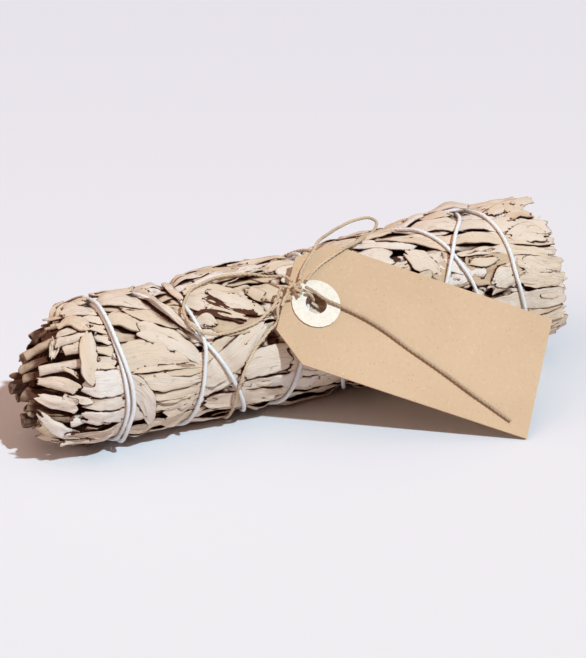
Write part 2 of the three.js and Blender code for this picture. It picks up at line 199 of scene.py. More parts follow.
thread = {
    "radius": 0.8, "drawn": 0.74, "uneven": 0.08,  # the strand is spun a little thinner than its room
    "rise": 0.75, "sunk": 2.1, "floorGap": 0.4, "degreesPerStep": 18,
    "farTurn": 70, "farFrom": 60, "farOver": 26,  # where it bites in: this far round from the near side
    "strandApart": 200,  # degrees along the thread before it can cross itself
    "degreesPerMm": 10, "routeStep": 0.2,  # as the route is smoothed on the flat
    "checksPerStep": 4, "perSpan": 12,
    "plies": 3, "grooves": 0.12, "pitch": 6.5, "step": 0.75, "sides": 14,
    "route": [  # (turn, x)
        (-118, -77.5), (-60, -77.4), (-10, -77), (7, -77.1), (28, -77.1), (46, -76.9), (63, -76.4),
        (79, -76), (104, -75.8), (121, -76.8), (180, -78), (270, -77.6), (367, -76.9), (388, -76.8),
        (406, -76.5), (421, -75.6), (428, -75), (438, -74.3), (451, -74), (467, -74.4), (481, -76),
        (560, -72.5), (640, -66), (716, -60.4), (741, -57), (756, -52.8), (772, -47.4), (790, -41.5),
        (805, -38), (828, -33), (852, -29), (950, -17), (1060, 6), (1137, 6), (1195, 8), (1228, 14),
        (1330, 31), (1440, 48), (1455, 51.6), (1476, 55.8), (1490, 57.6), (1507, 60.5), (1570, 65.5),
        (1660, 71), (1750, 74), (1800, 75.2), (1818, 76.8), (1840, 77.7), (1858, 77.6), (1875, 78.4),
        (1889, 80.5), (1960, 80.5), (2060, 76), (2153, 69), (2191, 57), (2216, 50), (2270, 38), (2350, 22),
        (2440, 8), (2520, 4), (2575, -5), (2612, -10), (2640, -12.5), (2668, -16), (2740, -26), (2820, -40),
        (2862, -47), (2887, -48.7), (2905, -47.9), (2920, -47.2), (2937, -45.7), (2965, -47), (3006, -50.5),
        (3070, -57), (3120, -64),
    ],
}


def threadRise(turn):
    # how far the thread's middle stands above the even surface: it bites in on the far side
    away = np.abs(halfTurn(np.asarray(turn, float) - thread["farTurn"]))
    return thread["rise"] - thread["sunk"] * np.clip((away - thread["farFrom"]) / thread["farOver"], 0, 1)


def threadPath():
    scale, fine = thread["degreesPerMm"], thread["checksPerStep"]
    pairs = np.array([(turn / scale, x, 0) for turn, x in thread["route"]], float)
    flat = evenPoints(smoothCurve(pairs, 40), thread["routeStep"])
    first, last = thread["route"][0][0], thread["route"][-1][0]
    steps = round((last - first) / thread["degreesPerStep"])
    turns = np.linspace(first, last, steps * fine + 1)
    xs = np.interp(turns, flat[:, 0] * scale, flat[:, 1])
    lifts = np.zeros(len(turns))
    for i in range(len(turns)):  # a later strand lies over an earlier one
        earlier = turns[:i][turns[i] - turns[:i] >= thread["strandApart"]]
        if len(earlier):
            apart = np.abs(halfTurn(turns[i] - earlier))
            nearest = np.hypot(np.radians(apart) * bunch["radius"], xs[i] - xs[:len(earlier)]).min()
            lifts[i] = math.sqrt(max(0, (2 * thread["radius"]) ** 2 - nearest ** 2))
    over = np.array([lifts[max(0, i - fine + 1):i + fine].max() for i in range(0, len(turns), fine)])
    x, turn = xs[::fine], turns[::fine]
    points = around(x, turn, radiusAt(x) + threadRise(turn) + over)
    points[:, 2] = np.maximum(points[:, 2], thread["radius"] + thread["floorGap"])
    return evenPoints(smoothCurve(points, thread["perSpan"]), thread["step"])


twine = {
    "radius": 0.62, "drawn": 0.62, "uneven": 0.12, "floorGap": 0.4,
    "plies": 2, "grooves": 0.3, "pitch": 3.4, "step": 0.4, "sides": 14,
    "wrap": [  # from the knot once round and up through the hole
        onCard([(2.2, 22.2, 2.4), (0.4, 21, 1.9), (-0.9, 19.5, 1.5), (-1.7, 17.6, 0.9)]),
        onLeaves([(-17.4, 56, 2), (-21, 61, 1.5), (-24, 66, 1.5), (-27, 71, 1.5), (-30, 78, 1.9),
                  (-32.5, 85, 2.6), (-34.2, 94, 2.6), (-35, 104, 1.8), (-34.6, 124, 1.1), (-34, 146, 0.9),
                  (-33.2, 168, 0.8), (-32.4, 190, 0.5), (-31, 212, 0.5), (-24, 234, 0.6), (-15, 258, 0.6),
                  (-6, 282, 0.6), (1, 306, 0.6), (6, 328, 0.8), (8.5, 347, 1.3), (8.5, 364, 1.5),
                  (5, 378, 1.1), (2, 392, 0.9), (-1.4, 402, 1)]),
        onCard([(10.4, 25.2, -1.1), (9.4, 25.4, 0.8), (8, 25.6, 2.1), (6.3, 25.7, 3)]),
    ],
    "rightLoop": [
        onCard([(3, 29.2, 3), (3.1, 33, 2.4), (4, 37.6, 2.1), (5.4, 42.4, 2.3)]),
        [(6, -7.5, 60.1), (13.4, -0.8, 59.1), (21.3, 5, 58.2), (28.8, 9, 57.6), (36.7, 11.5, 56.2),
         (39.3, 11, 54.5), (38, 8.5, 53.9), (34.9, 5, 53.7), (29.3, 1.5, 53.6), (23.8, -3, 54.5),
         (18.8, -8.3, 56.6)],
        onCard([(15.8, 47.2, 1.7), (12.6, 43.2, 1.5), (9.4, 38.8, 1.4), (6.9, 34, 2), (5.4, 29.8, 3)]),
    ],
    "leftLoop": [
        onCard([(0.6, 27.6, 3), (-1.8, 29, 2.4)]),
        onLeaves([(-15.5, 20, 3.2), (-19, 12.5, 2), (-23.5, 8.5, 1.7), (-29, 6.5, 1.6), (-34, 7.5, 1.7),
                  (-39, 11.5, 2), (-43.5, 16.5, 2.8), (-47, 24, 3.2), (-49.8, 32, 3.4), (-50.3, 40, 3.6),
                  (-49, 47.5, 4.2), (-46, 53, 4.4), (-42, 55.5, 3.5), (-36, 56, 2), (-30, 55, 1.6),
                  (-25, 53, 1.8), (-20.6, 48.4, 2.8), (-16.6, 43, 4)]),
        onCard([(-2.4, 24.4, 3.2), (0.4, 25, 3.5)]),
    ],
    "tail": [
        onCard([(5.6, 27.3, 3.2), (9, 26.9, 2.7), (12.5, 25.9, 2.2), (16, 25.4, 2.1), (20, 25.2, 1.9),
                (26.1, 24.5, 1.6), (35.2, 22.5, 1.5), (47.5, 18.2, 1.4), (59.7, 14.2, 1.4), (72.1, 9.7, 1.5),
                (80.5, 6.9, 1.4), (88.8, 4.1, 1.3)]),
    ],
    "shortEnd": [
        onCard([(0.6, 23.4, 3.2), (-0.2, 21.6, 3.4), (-0.6, 19.6, 3.2), (-0.6, 17.6, 2.8)]),
    ],
}


def twinePath(name):
    points = np.vstack([np.asarray(part, float) for part in twine[name]])
    points[:, 2] = np.maximum(points[:, 2], twine["radius"] + twine["floorGap"])
    return evenPoints(smoothCurve(points), twine["step"])


threadLine = threadPath()
twineLines = {name: twinePath(name) for name in ("wrap", "rightLoop", "leftLoop", "tail", "shortEnd")}
print("sage bunch: routes ready")


def lengthOf(points):
    return float(np.linalg.norm(np.diff(points, axis=0), axis=1).sum())


def meshObject(name, vertices, faces, attributes=None, edgeBrownAndShadeLines=()):
    mesh = bpy.data.meshes.new(name)
    mesh.from_pydata((np.asarray(vertices) * metresPerMm).tolist(), list(edgeBrownAndShadeLines), faces)
    for label, values in (attributes or {}).items():
        layer = mesh.attributes.new(label, "FLOAT", "POINT")
        layer.data.foreach_set("value", np.asarray(values, np.float32).ravel())
    mesh.update()
    obj = bpy.data.objects.new(name, mesh)
    bpy.context.scene.collection.objects.link(obj)
    return obj


def ringFaces(rows, columns, inwardFirst=False):
    # the faces of a tube whose rings of points close on themselves
    faces = []
    for i in range(rows):
        for j in range(columns):
            a, b = i * columns + j, i * columns + (j + 1) % columns
            face = (a, b, b + columns, a + columns)
            faces.append((a, *face[:0:-1]) if inwardFirst else face)
    return faces


def newTree(name, numbers, **others):
    # a tree with a named input for each number, and for each other input its kind of socket
    tree = bpy.data.node_groups.new(name, "GeometryNodeTree")
    tree.interface.new_socket("Geometry", in_out="INPUT", socket_type="NodeSocketGeometry")
    for label, value in numbers.items():
        kind = "NodeSocketInt" if isinstance(value, int) else "NodeSocketFloat"
        tree.interface.new_socket(label, in_out="INPUT", socket_type=kind).default_value = value
    for label, kind in others.items():
        tree.interface.new_socket(label, in_out="INPUT", socket_type=kind)
    tree.interface.new_socket("Geometry", in_out="OUTPUT", socket_type="NodeSocketGeometry")
    return tree, tree.nodes.new("NodeGroupInput").outputs


def setSocket(socket, value):
    # another node's output is linked, and anything else is the socket's own value
    if isinstance(value, bpy.types.NodeSocket):
        socket.id_data.links.new(value, socket)
    elif socket.type == "RGBA":
        socket.default_value = (*value, 1)
    else:
        socket.default_value = value


def addNode(tree, kind, settings=None, first=(), **inputs):
    # the first inputs can be given in their order, the others by name
    node = tree.nodes.new(kind)
    for key, value in (settings or {}).items():
        setattr(node, key, value)
    for socket, value in zip(node.inputs, first):
        setSocket(socket, value)
    for key, value in inputs.items():
        setSocket(node.inputs[key], value)
    return node


def treeOf(values):
    return next(value.id_data for value in values if isinstance(value, bpy.types.NodeSocket))


def calc(operation, *values, clamp=False):
    node = addNode(treeOf(values), "ShaderNodeMath", {"operation": operation, "use_clamp": clamp}, values)
    return node.outputs[0]


plus, minus, times, divided, absolute = (
    partial(calc, operation) for operation in ("ADD", "SUBTRACT", "MULTIPLY", "DIVIDE", "ABSOLUTE"))


def centred(value):
    return minus(value, 0.5)


def vectorCalc(operation, *values, **named):
    node = addNode(treeOf(values), "ShaderNodeVectorMath", {"operation": operation}, values, **named)
    return node.outputs["Value" if operation == "DOT_PRODUCT" else "Vector"]


def vectorOf(*parts):
    return addNode(treeOf(parts), "ShaderNodeCombineXYZ", first=parts).outputs[0]


def storeAttribute(geometry, name, value):
    node = addNode(geometry.id_data, "GeometryNodeStoreNamedAttribute",
                   {"data_type": "FLOAT", "domain": "POINT"}, Geometry=geometry, Name=name)
    setSocket([socket for socket in node.inputs if socket.name == "Value" and socket.enabled][0], value)
    return node.outputs[0]


def endTree(geometry, material):
    tree = geometry.id_data
    smooth = addNode(tree, "GeometryNodeSetShadeSmooth", Geometry=geometry).outputs[0]
    real = addNode(tree, "GeometryNodeRealizeInstances", Geometry=smooth).outputs[0]
    final = addNode(tree, "GeometryNodeSetMaterial", Geometry=real, Material=material).outputs[0]
    tree.links.new(final, tree.nodes.new("NodeGroupOutput").inputs[0])
    return tree


def applyModifiers(obj):
    # the evaluated result takes the place of the object's own mesh
    bpy.context.view_layer.update()
    graph = bpy.context.evaluated_depsgraph_get()
    evaluated = obj.evaluated_get(graph)
    mesh = bpy.data.meshes.new_from_object(evaluated, preserve_all_data_layers=True, depsgraph=graph)
    obj.modifiers.clear()
    old = obj.data
    obj.data = mesh
    bpy.data.meshes.remove(old)
    mesh.name = obj.name
    return obj


def addTree(obj, tree, values):
    modifier = obj.modifiers.new(tree.name, "NODES")
    modifier.node_group = tree
    for item in tree.interface.items_tree:
        if item.item_type == "SOCKET" and item.in_out == "INPUT" and item.name in values:
            modifier[item.identifier] = values[item.name]


def newMaterial(name, roughness, specular):
    material = bpy.data.materials.new(name)
    material.use_nodes = True
    tree = material.node_tree
    shader = tree.nodes["Principled BSDF"]
    shader.inputs["Roughness"].default_value = roughness
    shader.inputs["Specular IOR Level"].default_value = specular
    return material, tree, shader


def paint(shader, colour, height, strength, distance):
    # the colour, and a height that bumps the surface by at most the distance in millimetres
    bump = addNode(colour.id_data, "ShaderNodeBump", Strength=strength, Distance=distance * metresPerMm,
                   Height=height)
    setSocket(shader.inputs["Base Color"], colour)
    setSocket(shader.inputs["Normal"], bump.outputs["Normal"])


def attributesOf(tree, *names):
    return [addNode(tree, "ShaderNodeAttribute", {"attribute_name": name}).outputs["Fac"] for name in names]


def objectPlace(tree, scale=None):
    place = addNode(tree, "ShaderNodeTexCoord").outputs["Object"]
    return addNode(tree, "ShaderNodeMapping", Vector=place, Scale=scale).outputs[0] if scale else place


def noiseOf(place, scale, detail=3.0, roughness=0.5):
    return addNode(place.id_data, "ShaderNodeTexNoise", Vector=place, Scale=scale, Detail=detail,
                   Roughness=roughness).outputs["Fac"]


def cellsOf(place, scale):
    return addNode(place.id_data, "ShaderNodeTexVoronoi", {"feature": "F1"}, Vector=place, Scale=scale,
                   Randomness=1.0).outputs["Distance"]


def mapRange(value, *ends):
    # ends: from low, from high, to low, to high
    node = addNode(value.id_data, "ShaderNodeMapRange", {"interpolation_type": "SMOOTHSTEP"}, (value, *ends))
    return node.outputs[0]


def spots(place, scale, detail, roughness, low, high, most):
    # how much of a point the spots of a noise cover
    return mapRange(noiseOf(place, scale, detail, roughness), low, high, 0, most)


def ramp(value, *stops):
    node = addNode(value.id_data, "ShaderNodeValToRGB", Fac=value)
    band = node.color_ramp
    band.interpolation = "EASE"
    while len(band.elements) < len(stops):
        band.elements.new(0.5)
    for element, (place, colour) in zip(band.elements, stops):
        element.position = place
        element.color = (*colour, 1)
    return node.outputs["Color"]


def blendColour(part, first, second):
    node = addNode(part.id_data, "ShaderNodeMix", {"data_type": "RGBA"})
    for index, value in ((0, part), (6, first), (7, second)):
        setSocket(node.inputs[index], value)
    return node.outputs[2]


# Ranges are (from low, from high, to low, to high), and spots are (scale, detail, roughness, from, to, most).
leafColours = {
    "roughness": 0.9, "specular": 0.04,
    "tones": [(0, (0.465, 0.272, 0.163)), (0.1, (0.578, 0.406, 0.267)), (0.3, (0.668, 0.495, 0.352)),
              (0.6, (0.716, 0.549, 0.410)), (0.85, (0.752, 0.609, 0.500)), (1, (0.792, 0.677, 0.599))],
    # painted shade: paintedShadeBrown and shaded darken the leaf colour with depth below the surface and with
    # how closed in a point is by other leaves
    "rim": (0.36, 0.22, 0.135), "edge": (0.17, 0.068, 0.038), "speck": (0.27, 0.15, 0.09),
    "shaded": (0.38, 0.195, 0.115), "paintedShadeBrown": (0.075, 0.022, 0.013),
    "uneven": 0.55, "blotches": (210, 4, 0.6, 0.58, 0.74, 0.3), "specks": (900, 2, 0.6, 0.68, 0.76, 0.45),
    "patches": (0.5, 2, 0.5, 0.5, 0.68, 0.45), "crackAndGapShadeLines": (0.004, 0.013, 1, 0), "edgeBrownAndShadeLines": (1.17, 1.23, 0, 0.6),
    "paintedShadeByDepth": (0.9, 3.0, 0, 0.94), "raggedDepth": 1.6,
    "shades": (0.08, 0.3, 0, 0.6), "hollows": (0.18, 0.46, 0, 0.97),
    "grainAlong": 0.16, "fibresAlong": 0.5, "cracksAlong": 0.05, "cracksAcross": 0.42,
    "edgeNoise": ((1.5, 3, 0.12), (0.33, 2, 0.3)),  # scale, detail, share
    "veinHeight": 1.6, "fibreHeight": 0.6,
    "bump": (0.8, 0.45),  # strength, millimetres
}


def leafMaterial():
    material, tree, shader = newMaterial("driedSageLeaf", leafColours["roughness"], leafColours["specular"])
    place = objectPlace(tree)
    along, across, seed, rim = attributesOf(tree, "leafAlong", "leafAcross", "leafSeed", "leafRim")
    leafTone, depth, hidden = attributesOf(tree, "leafTone", "depth", "hidden")
    grain = vectorOf(times(along, leafColours["grainAlong"]), across, seed)
    fibreGrain = vectorOf(times(along, leafColours["fibresAlong"]), across, seed)
    crackGrain = vectorOf(times(along, leafColours["cracksAlong"]),
                          times(across, leafColours["cracksAcross"]), seed)
    tone = plus(leafTone, times(centred(noiseOf(grain, 0.28, 4)), leafColours["uneven"]), clamp=True)
    colour = ramp(tone, *leafColours["tones"])
    uneven = reduce(plus, (times(noiseOf(grain, scale, detail), share)
                           for scale, detail, share in leafColours["edgeNoise"]))
    # painted shade: the colour darkens with how deep a point lies and with how closed in it is by other
    # leaves
    ragged = plus(depth, times(centred(noiseOf(place, 300, 3)), leafColours["raggedDepth"]))
    # crack lines: partly creases of the dried leaf, partly painted shade of the gaps between leaves
    crackAndGapShade = mapRange(absolute(centred(noiseOf(crackGrain, 1.0, 3, 0.45))), *leafColours["crackAndGapShadeLines"])
    # rim blotches and specks are the leaf's own colour; edge lines are partly its browned margin and partly
    # painted shade under lifted edges; the depth and hollow tints are painted shade
    for tint, share in (("rim", spots(place, *leafColours["blotches"])),
                        ("edge", mapRange(plus(rim, uneven), *leafColours["edgeBrownAndShadeLines"])),
                        ("speck", spots(place, *leafColours["specks"])),
                        ("paintedShadeBrown", mapRange(ragged, *leafColours["paintedShadeByDepth"])),
                        ("shaded", mapRange(hidden, *leafColours["shades"])),
                        ("paintedShadeBrown", mapRange(hidden, *leafColours["hollows"])),
                        ("edge", times(crackAndGapShade, spots(grain, *leafColours["patches"])))):
        colour = blendColour(share, colour, leafColours[tint])
    veins = absolute(centred(noiseOf(grain, 1.1, 2)))
    fibres = noiseOf(fibreGrain, 3.2, 4, 0.6)
    height = plus(times(veins, leafColours["veinHeight"]), times(fibres, leafColours["fibreHeight"]))
    paint(shader, colour, height, *leafColours["bump"])
    return material


strandColours = {  # light, dark (also the painted shade in the grooves between plies), how fine the hairs are, roughness
    "cottonThread": ((0.845, 0.815, 0.805), (0.755, 0.72, 0.70), 1.7, 0.8),
    "juteTwine": ((0.70, 0.53, 0.365), (0.44, 0.29, 0.18), 2.6, 0.85),
    # painted shade: a darker copy of the twine for the tail, standing for its shaded side and its shadow on
    # the card
    "juteTwineTail": ((0.56, 0.41, 0.28), (0.31, 0.195, 0.12), 2.6, 0.85),
}


def strandMaterial(name):
    light, darkAndGrooveShade, hairs, roughness = strandColours[name]
    material, tree, shader = newMaterial(name, roughness, 0.25)
    along, turn, groove = attributesOf(tree, "strandAlong", "strandTurn", "strandGroove")
    hairShade = noiseOf(vectorOf(times(along, 0.35), times(turn, 3.0), 0), hairs, 4, 0.65)
    mixed = plus(times(hairShade, 0.6), times(noiseOf(objectPlace(tree), 120, 3), 0.4))
    colour = ramp(mixed, (0.3, darkAndGrooveShade), (0.62, light))
    # painted shade in the grooves between the plies
    colour = blendColour(mapRange(groove, 0.45, 1, 0, 0.55), colour, darkAndGrooveShade)
    paint(shader, colour, hairShade, 0.5, 0.18)
    return material


paperColours = {
    "card": [(0.3, (0.583, 0.39, 0.241)), (0.7, (0.626, 0.424, 0.267))],
    "darkFibre": (0.47, 0.29, 0.15), "lightFibre": (0.80, 0.62, 0.43), "fleck": (0.33, 0.18, 0.09),
    "darkFibres": (0.56, 0.70, 0, 0.30), "lightFibres": (0.43, 0.32, 0, 0.25), "flecks": (0.13, 0.07, 0, 0.6),
    "fibreStretch": (1, 0.35, 1), "fleckScale": 520.0,
    "ring": [(0.3, (0.74, 0.64, 0.52)), (0.6, (0.82, 0.725, 0.61))],
}


def cardMaterial():
    material, tree, shader = newMaterial("kraftCard", 0.82, 0.22)
    place = objectPlace(tree)
    fibres = noiseOf(objectPlace(tree, paperColours["fibreStretch"]), 900, 4, 0.7)
    colour = ramp(noiseOf(place, 28, 3), *paperColours["card"])
    for tint, height in (("darkFibre", fibres), ("lightFibre", fibres),
                         ("fleck", cellsOf(place, paperColours["fleckScale"]))):
        colour = blendColour(mapRange(height, *paperColours[tint + "s"]), colour, paperColours[tint])
    paint(shader, colour, fibres, 0.25, 0.12)
    return material


def ringMaterial():
    material, tree, shader = newMaterial("creamPaper", 0.7, 0.3)
    fibres = noiseOf(objectPlace(tree), 700, 4, 0.65)
    paint(shader, ramp(fibres, *paperColours["ring"]), fibres, 0.2, 0.1)
    return material


woodColours = {
    "bark": [(0.3, (0.07, 0.035, 0.022)), (0.7, (0.19, 0.11, 0.072))],
    "cut": [(0.3, (0.14, 0.078, 0.05)), (0.65, (0.26, 0.165, 0.11))],
    "pith": (0.12, 0.065, 0.04), "grainStretch": (0.12, 1, 1),
    "cutMark": 1.0, "pithMark": 2.0,  # what cutFace says at the cut and at the pith
    "cutFrom": (0.3, 0.7, 0, 1), "pithFrom": (1.3, 1.9, 0, 1),
}


def woodMaterial():
    material, tree, shader = newMaterial("woodyStem", 0.85, 0.2)
    grain = noiseOf(objectPlace(tree, woodColours["grainStretch"]), 900, 4, 0.65)
    cut, = attributesOf(tree, "cutFace")
    rings = ramp(noiseOf(objectPlace(tree), 1300, 3, 0.6), *woodColours["cut"])
    pith = blendColour(mapRange(cut, *woodColours["pithFrom"]), rings, woodColours["pith"])
    colour = blendColour(mapRange(cut, *woodColours["cutFrom"]), ramp(grain, *woodColours["bark"]), pith)
    paint(shader, colour, grain, 0.6, 0.4)
    return material


looks = {
    "leaf": leafMaterial(),
    "cotton": strandMaterial("cottonThread"),
    "jute": strandMaterial("juteTwine"),
    "jutePaintedShade": strandMaterial("juteTwineTail"),
    "kraft": cardMaterial(),
    "cream": ringMaterial(),
    "wood": woodMaterial(),
}
print("sage bunch: materials ready")


def strandTree():
    # a polyline becomes a twisted, grooved strand with closed ends
    tree, source = newTree("twistedStrand", {
        "radius": 0.001, "sides": 12, "plies": 2.0, "grooves": 0.2, "pitch": 0.004,
        "seed": 0.0, "uneven": 0.0,
    }, material="NodeSocketMaterial")
    length = tree.nodes.new("GeometryNodeSplineParameter").outputs["Length"]
    position = tree.nodes.new("GeometryNodeInputPosition").outputs[0]
    curve = addNode(tree, "GeometryNodeMeshToCurve", Mesh=source["Geometry"]).outputs[0]
    twist = times(divided(length, source["pitch"]), 2 * math.pi)
    curve = addNode(tree, "GeometryNodeSetCurveTilt", Curve=curve, Tilt=twist).outputs[0]
    curve = storeAttribute(curve, "strandAlong", times(length, 1 / metresPerMm))
    circle = addNode(tree, "GeometryNodeCurvePrimitiveCircle", Resolution=source["sides"], Radius=1.0)
    part = divided(tree.nodes.new("GeometryNodeInputIndex").outputs[0], source["sides"])
    lobe = absolute(calc("COSINE", times(times(part, 2 * math.pi), divided(source["plies"], 2.0))))
    groove = minus(1.0, lobe)
    reach = times(source["radius"], minus(1.0, times(source["grooves"], groove)))
    outline = addNode(tree, "GeometryNodeSetPosition", Geometry=circle.outputs["Curve"],
                      Position=vectorCalc("SCALE", position, Scale=reach)).outputs[0]
    outline = storeAttribute(storeAttribute(outline, "strandGroove", groove), "strandTurn", part)
    tube = addNode(tree, "GeometryNodeCurveToMesh", Curve=curve,
                   **{"Profile Curve": outline, "Fill Caps": True})
    noise = addNode(tree, "ShaderNodeTexNoise", {"noise_dimensions": "4D"}, Vector=position, W=source["seed"],
                    Scale=700.0, Detail=2.0).outputs[0]
    push = vectorCalc("SCALE", tree.nodes.new("GeometryNodeInputNormal").outputs[0],
                      Scale=times(centred(noise), source["uneven"]))
    uneven = addNode(tree, "GeometryNodeSetPosition", Geometry=tube.outputs[0], Offset=push).outputs[0]
    return endTree(uneven, source["material"])


strandNodes = strandTree()


def strand(name, line, sizes, material, seed):
    obj = meshObject(name, line, [], edgeBrownAndShadeLines=[(i, i + 1) for i in range(len(line) - 1)])
    addTree(obj, strandNodes, {
        "radius": sizes["drawn"] * metresPerMm, "sides": sizes["sides"], "plies": float(sizes["plies"]),
        "grooves": sizes["grooves"], "pitch": sizes["pitch"] * metresPerMm, "seed": seed,
        "uneven": sizes["uneven"] * metresPerMm, "material": material,
    })
    return applyModifiers(obj)


def finishPiece(obj, slotName, *nodes):
    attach(obj, "root")
    if nodes:
        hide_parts(*nodes)
    return obj


def twinePiece(name, route, node, seed, look="jute"):
    return finishPiece(strand(name, twineLines[route], twine, looks[look], seed), "jute", node)


shortEnd = twinePiece("twine_short_end_spun", "shortEnd", "twine_short_end", 5.0)
cords = {  # route, node, far end, carried pieces, look
    "twine_right_loop_spun": ("rightLoop", "twine_loop_right", "object", [shortEnd], "jute"),
    "twine_left_loop_spun": ("leftLoop", "twine_loop_left", "object", [], "jute"),
    # the tail takes the darker twine: painted shade
    "twine_tail_spun": ("tail", "twine_tail", "bare", [], "jutePaintedShade"),
}
for seed, (name, (route, node, farEnd, carried, look)) in enumerate(cords.items()):
    line = twineLines[route]
    cord = twinePiece(name, route, node, float(seed), look)
    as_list(carried)
    print("sage bunch:", name, round(lengthOf(line)), "mm")

twinePiece("twine_wrap_spun", "wrap", "twine_wrap", 9.0)
finishPiece(strand("cotton_thread_spun", threadLine, thread, looks["cotton"], 3.0), "cotton", "cotton_thread")


# the knot: each strand passes round the others, as (centre on the card, tilt, spin, size)
knot = {
    "strands": [((3.3, 25.4, 3.1), 1.2, 0.5, 1.15), ((2.9, 26.3, 3.1), 0.7, 1.9, 1.1),
                ((3.5, 24.4, 3.0), 1.4, -0.5, 1.0)],
    "turns": 1.05, "drift": 0.5, "points": 44,
}


def knotPiece():
    pieces = []
    for k, (centre, tilt, spin, size) in enumerate(knot["strands"]):
        angle = np.linspace(0, 2 * math.pi * knot["turns"], knot["points"])
        drift = knot["drift"] * (angle / math.pi - 1)
        flat = np.stack([size * np.cos(angle), size * np.sin(angle), drift], axis=1)
        c, s = math.cos(tilt), math.sin(tilt)
        tilted = flat @ np.array([[1, 0, 0], [0, c, -s], [0, s, c]]).T
        c, s = math.cos(spin), math.sin(spin)
        spun = tilted @ np.array([[c, -s, 0], [s, c, 0], [0, 0, 1]]).T
        line = onCard(spun + np.array(centre))
        pieces.append(strand(f"knot_turn_{k}", line, twine, looks["jute"], 20.0 + k))
    bpy.ops.object.select_all(action="DESELECT")
    for piece in pieces:
        piece.select_set(True)
    bpy.context.view_layer.objects.active = pieces[0]
    bpy.ops.object.join()
    pieces[0].name = "twine_knot_spun"
    return pieces[0]


finishPiece(knotPiece(), "jute", "twine_knot")
print("sage bunch: thread and twine ready")

# how the leaves give way to the thread, the twine, the card and the table
leafShape = {
    "threadClear": 1.3, "threadReach": 2.5, "threadHeight": 0.4, "underThread": 0.14, "pressed": 0.2,
    "shallow": 5,  # leaves deeper than this don't feel the thread
    "pillow": 0.9, "pillowTurn": -50, "pillowReach": 9,
    "cardClear": 0.75, "cardMargin": 3.0, "cardOver": 8, "cardUnder": 3.0,
    "twineClear": 1.2, "twinePush": 1.3, "twineSlack": (0.6, 2.0), "cardSlack": 2.2,
    "floorClear": 0.05, "floorLift": 0.03, "crinkle": 0.07,
    "curlFrom": 0.62, "curlScale": 0.144, "tipWidth": 0.5,
    "thinnest": 0.02, "endRise": 0.6, "endBlend": 0.4,  # how leaves close in over the rounded stem end
    "overSlack": 0.3,  # strips over the thread crumple this much
}


def nearestPoints(points):
    tree = KDTree(len(points))
    for index, point in enumerate(points):
        tree.insert(point, index)
    tree.balance()
    return tree


threadTree = nearestPoints(threadLine)
twineTree = nearestPoints(np.vstack([twineLines["wrap"], twineLines["leftLoop"]]))


def distancesTo(tree, points):
    return np.array([tree.find(point)[2] for point in points.reshape(-1, 3)]).reshape(points.shape[:-1])


def smoothNoise(values, seed, octaves=2):
    # a small one-dimensional noise with fixed draws
    result = np.zeros_like(values, float)
    for octave in range(octaves):
        phase = seed * (3.7 + octave) + octave * 11.3
        waves = np.sin(values * 2 ** octave + phase) + np.sin(values * 2 ** octave * 1.731 + 2.3 * phase)
        result += waves / 2 ** (octave + 1)
    return result


def crossShape(leaf, along, t, c, s):
    # how far a blade stands above its middle line at t across (-1 to 1) and s along (0 to 1)
    seed = leaf["seed"]
    rib, rise, drop = leaf.get("rib", 0.0), leaf.get("rise", 0.0), leaf.get("drop", 0.0)
    fold = np.where(t < rib, lerp(-drop, rise, np.clip((t + 1) / (1 + rib), 0, 1)),
                    lerp(-0.4 * drop, rise, np.clip((1 - t) / (1 - rib), 0, 1)))
    twist = leaf.get("roll", 0.0) + leaf.get("twist", 0.0) * (s - 0.5)
    rolled = np.tan(np.radians(twist)) * c
    bow = leaf.get("bow", 0.0) * (1 - t ** 2)
    edge = np.clip(np.abs(t) - leafShape["curlFrom"], 0, 1) ** 2
    curl = -leaf.get("curl", 0.0) * edge / leafShape["curlScale"]
    wave = leaf.get("wave", 0.0) * smoothNoise(along * 0.2 + np.sign(t) * 1.7, seed + 9.7) * np.abs(t) ** 2
    heave = leaf.get("heave", 0.0) * smoothNoise(along * 0.1, seed + 2.9)
    lift = leaf.get("tipLift", 0.0) * np.abs(2 * s - 1) ** 3
    return fold + rolled + bow + curl + wave + heave + lift


def sheetValues(leaf, along, c, t, i, shape):
    return {
        "over": leaf.get("over", False),
        "leafAlong": np.broadcast_to(along, shape), "leafAcross": np.broadcast_to(c, shape),
        "leafSeed": np.full(shape, leaf["seed"] * 7.31), "leafTone": np.full(shape, leaf.get("tone", 0.5)),
        # painted shade: extra depth that colours a blade darker where it lies in shade
        "deeper": np.full(shape, leaf.get("deeper", 0.0)),
        "leafRim": np.broadcast_to(np.maximum(np.abs(t), np.abs(2 * i - 1) ** 4), shape),
    }


def leafSheet(leaf, rows, columns):
    # one straight blade as a grid of points, with what the finish reads at each point
    i = np.linspace(0, 1, rows + 1)[:, None]
    t = np.linspace(-1, 1, columns + 1)[None, :]
    seed = leaf["seed"]
    share = 1 - 0.4 * max(leaf["height"], 0) / bunch["radius"]
    start = max(leaf["x"] - leaf["length"] / 2, stemEndAt(leaf["turn"], share) + 2 * abs(math.sin(3 * seed)))
    end = min(leaf["x"] + leaf["length"] / 2, rightEdge(leaf["turn"]) - 1.2 * abs(math.sin(seed)))
    middle = lerp(start, end, i)
    place = middle + 0.8 * smoothNoise(t * 2.4, seed) * np.abs(2 * i - 1) ** 6
    s = np.clip((middle - leaf["x"]) / leaf["length"] + 0.5, 0, 1)
    tip = leafShape["tipWidth"]
    width = leaf["halfWidth"] * (tip + (1 - tip) * np.sin(math.pi * s ** 0.85) ** 0.6)
    along = i * (end - start)
    c = t * width * (1 + 0.10 * smoothNoise(along * 0.35, seed + 4.1, 3))
    lean = math.tan(math.radians(leaf["skew"])) * (middle - leaf["x"])
    lean = lean + leaf.get("bend", 0.0) * (4 * (s - 0.5) ** 2 - 0.5)
    turn = leaf["turn"] + np.degrees((lean + c) / bunch["radius"])
    points = around(place, turn, radiusAt(place) - leaf["height"] + crossShape(leaf, along, t, c, s))
    return points, sheetValues(leaf, along, c, t, i, points.shape[:2])


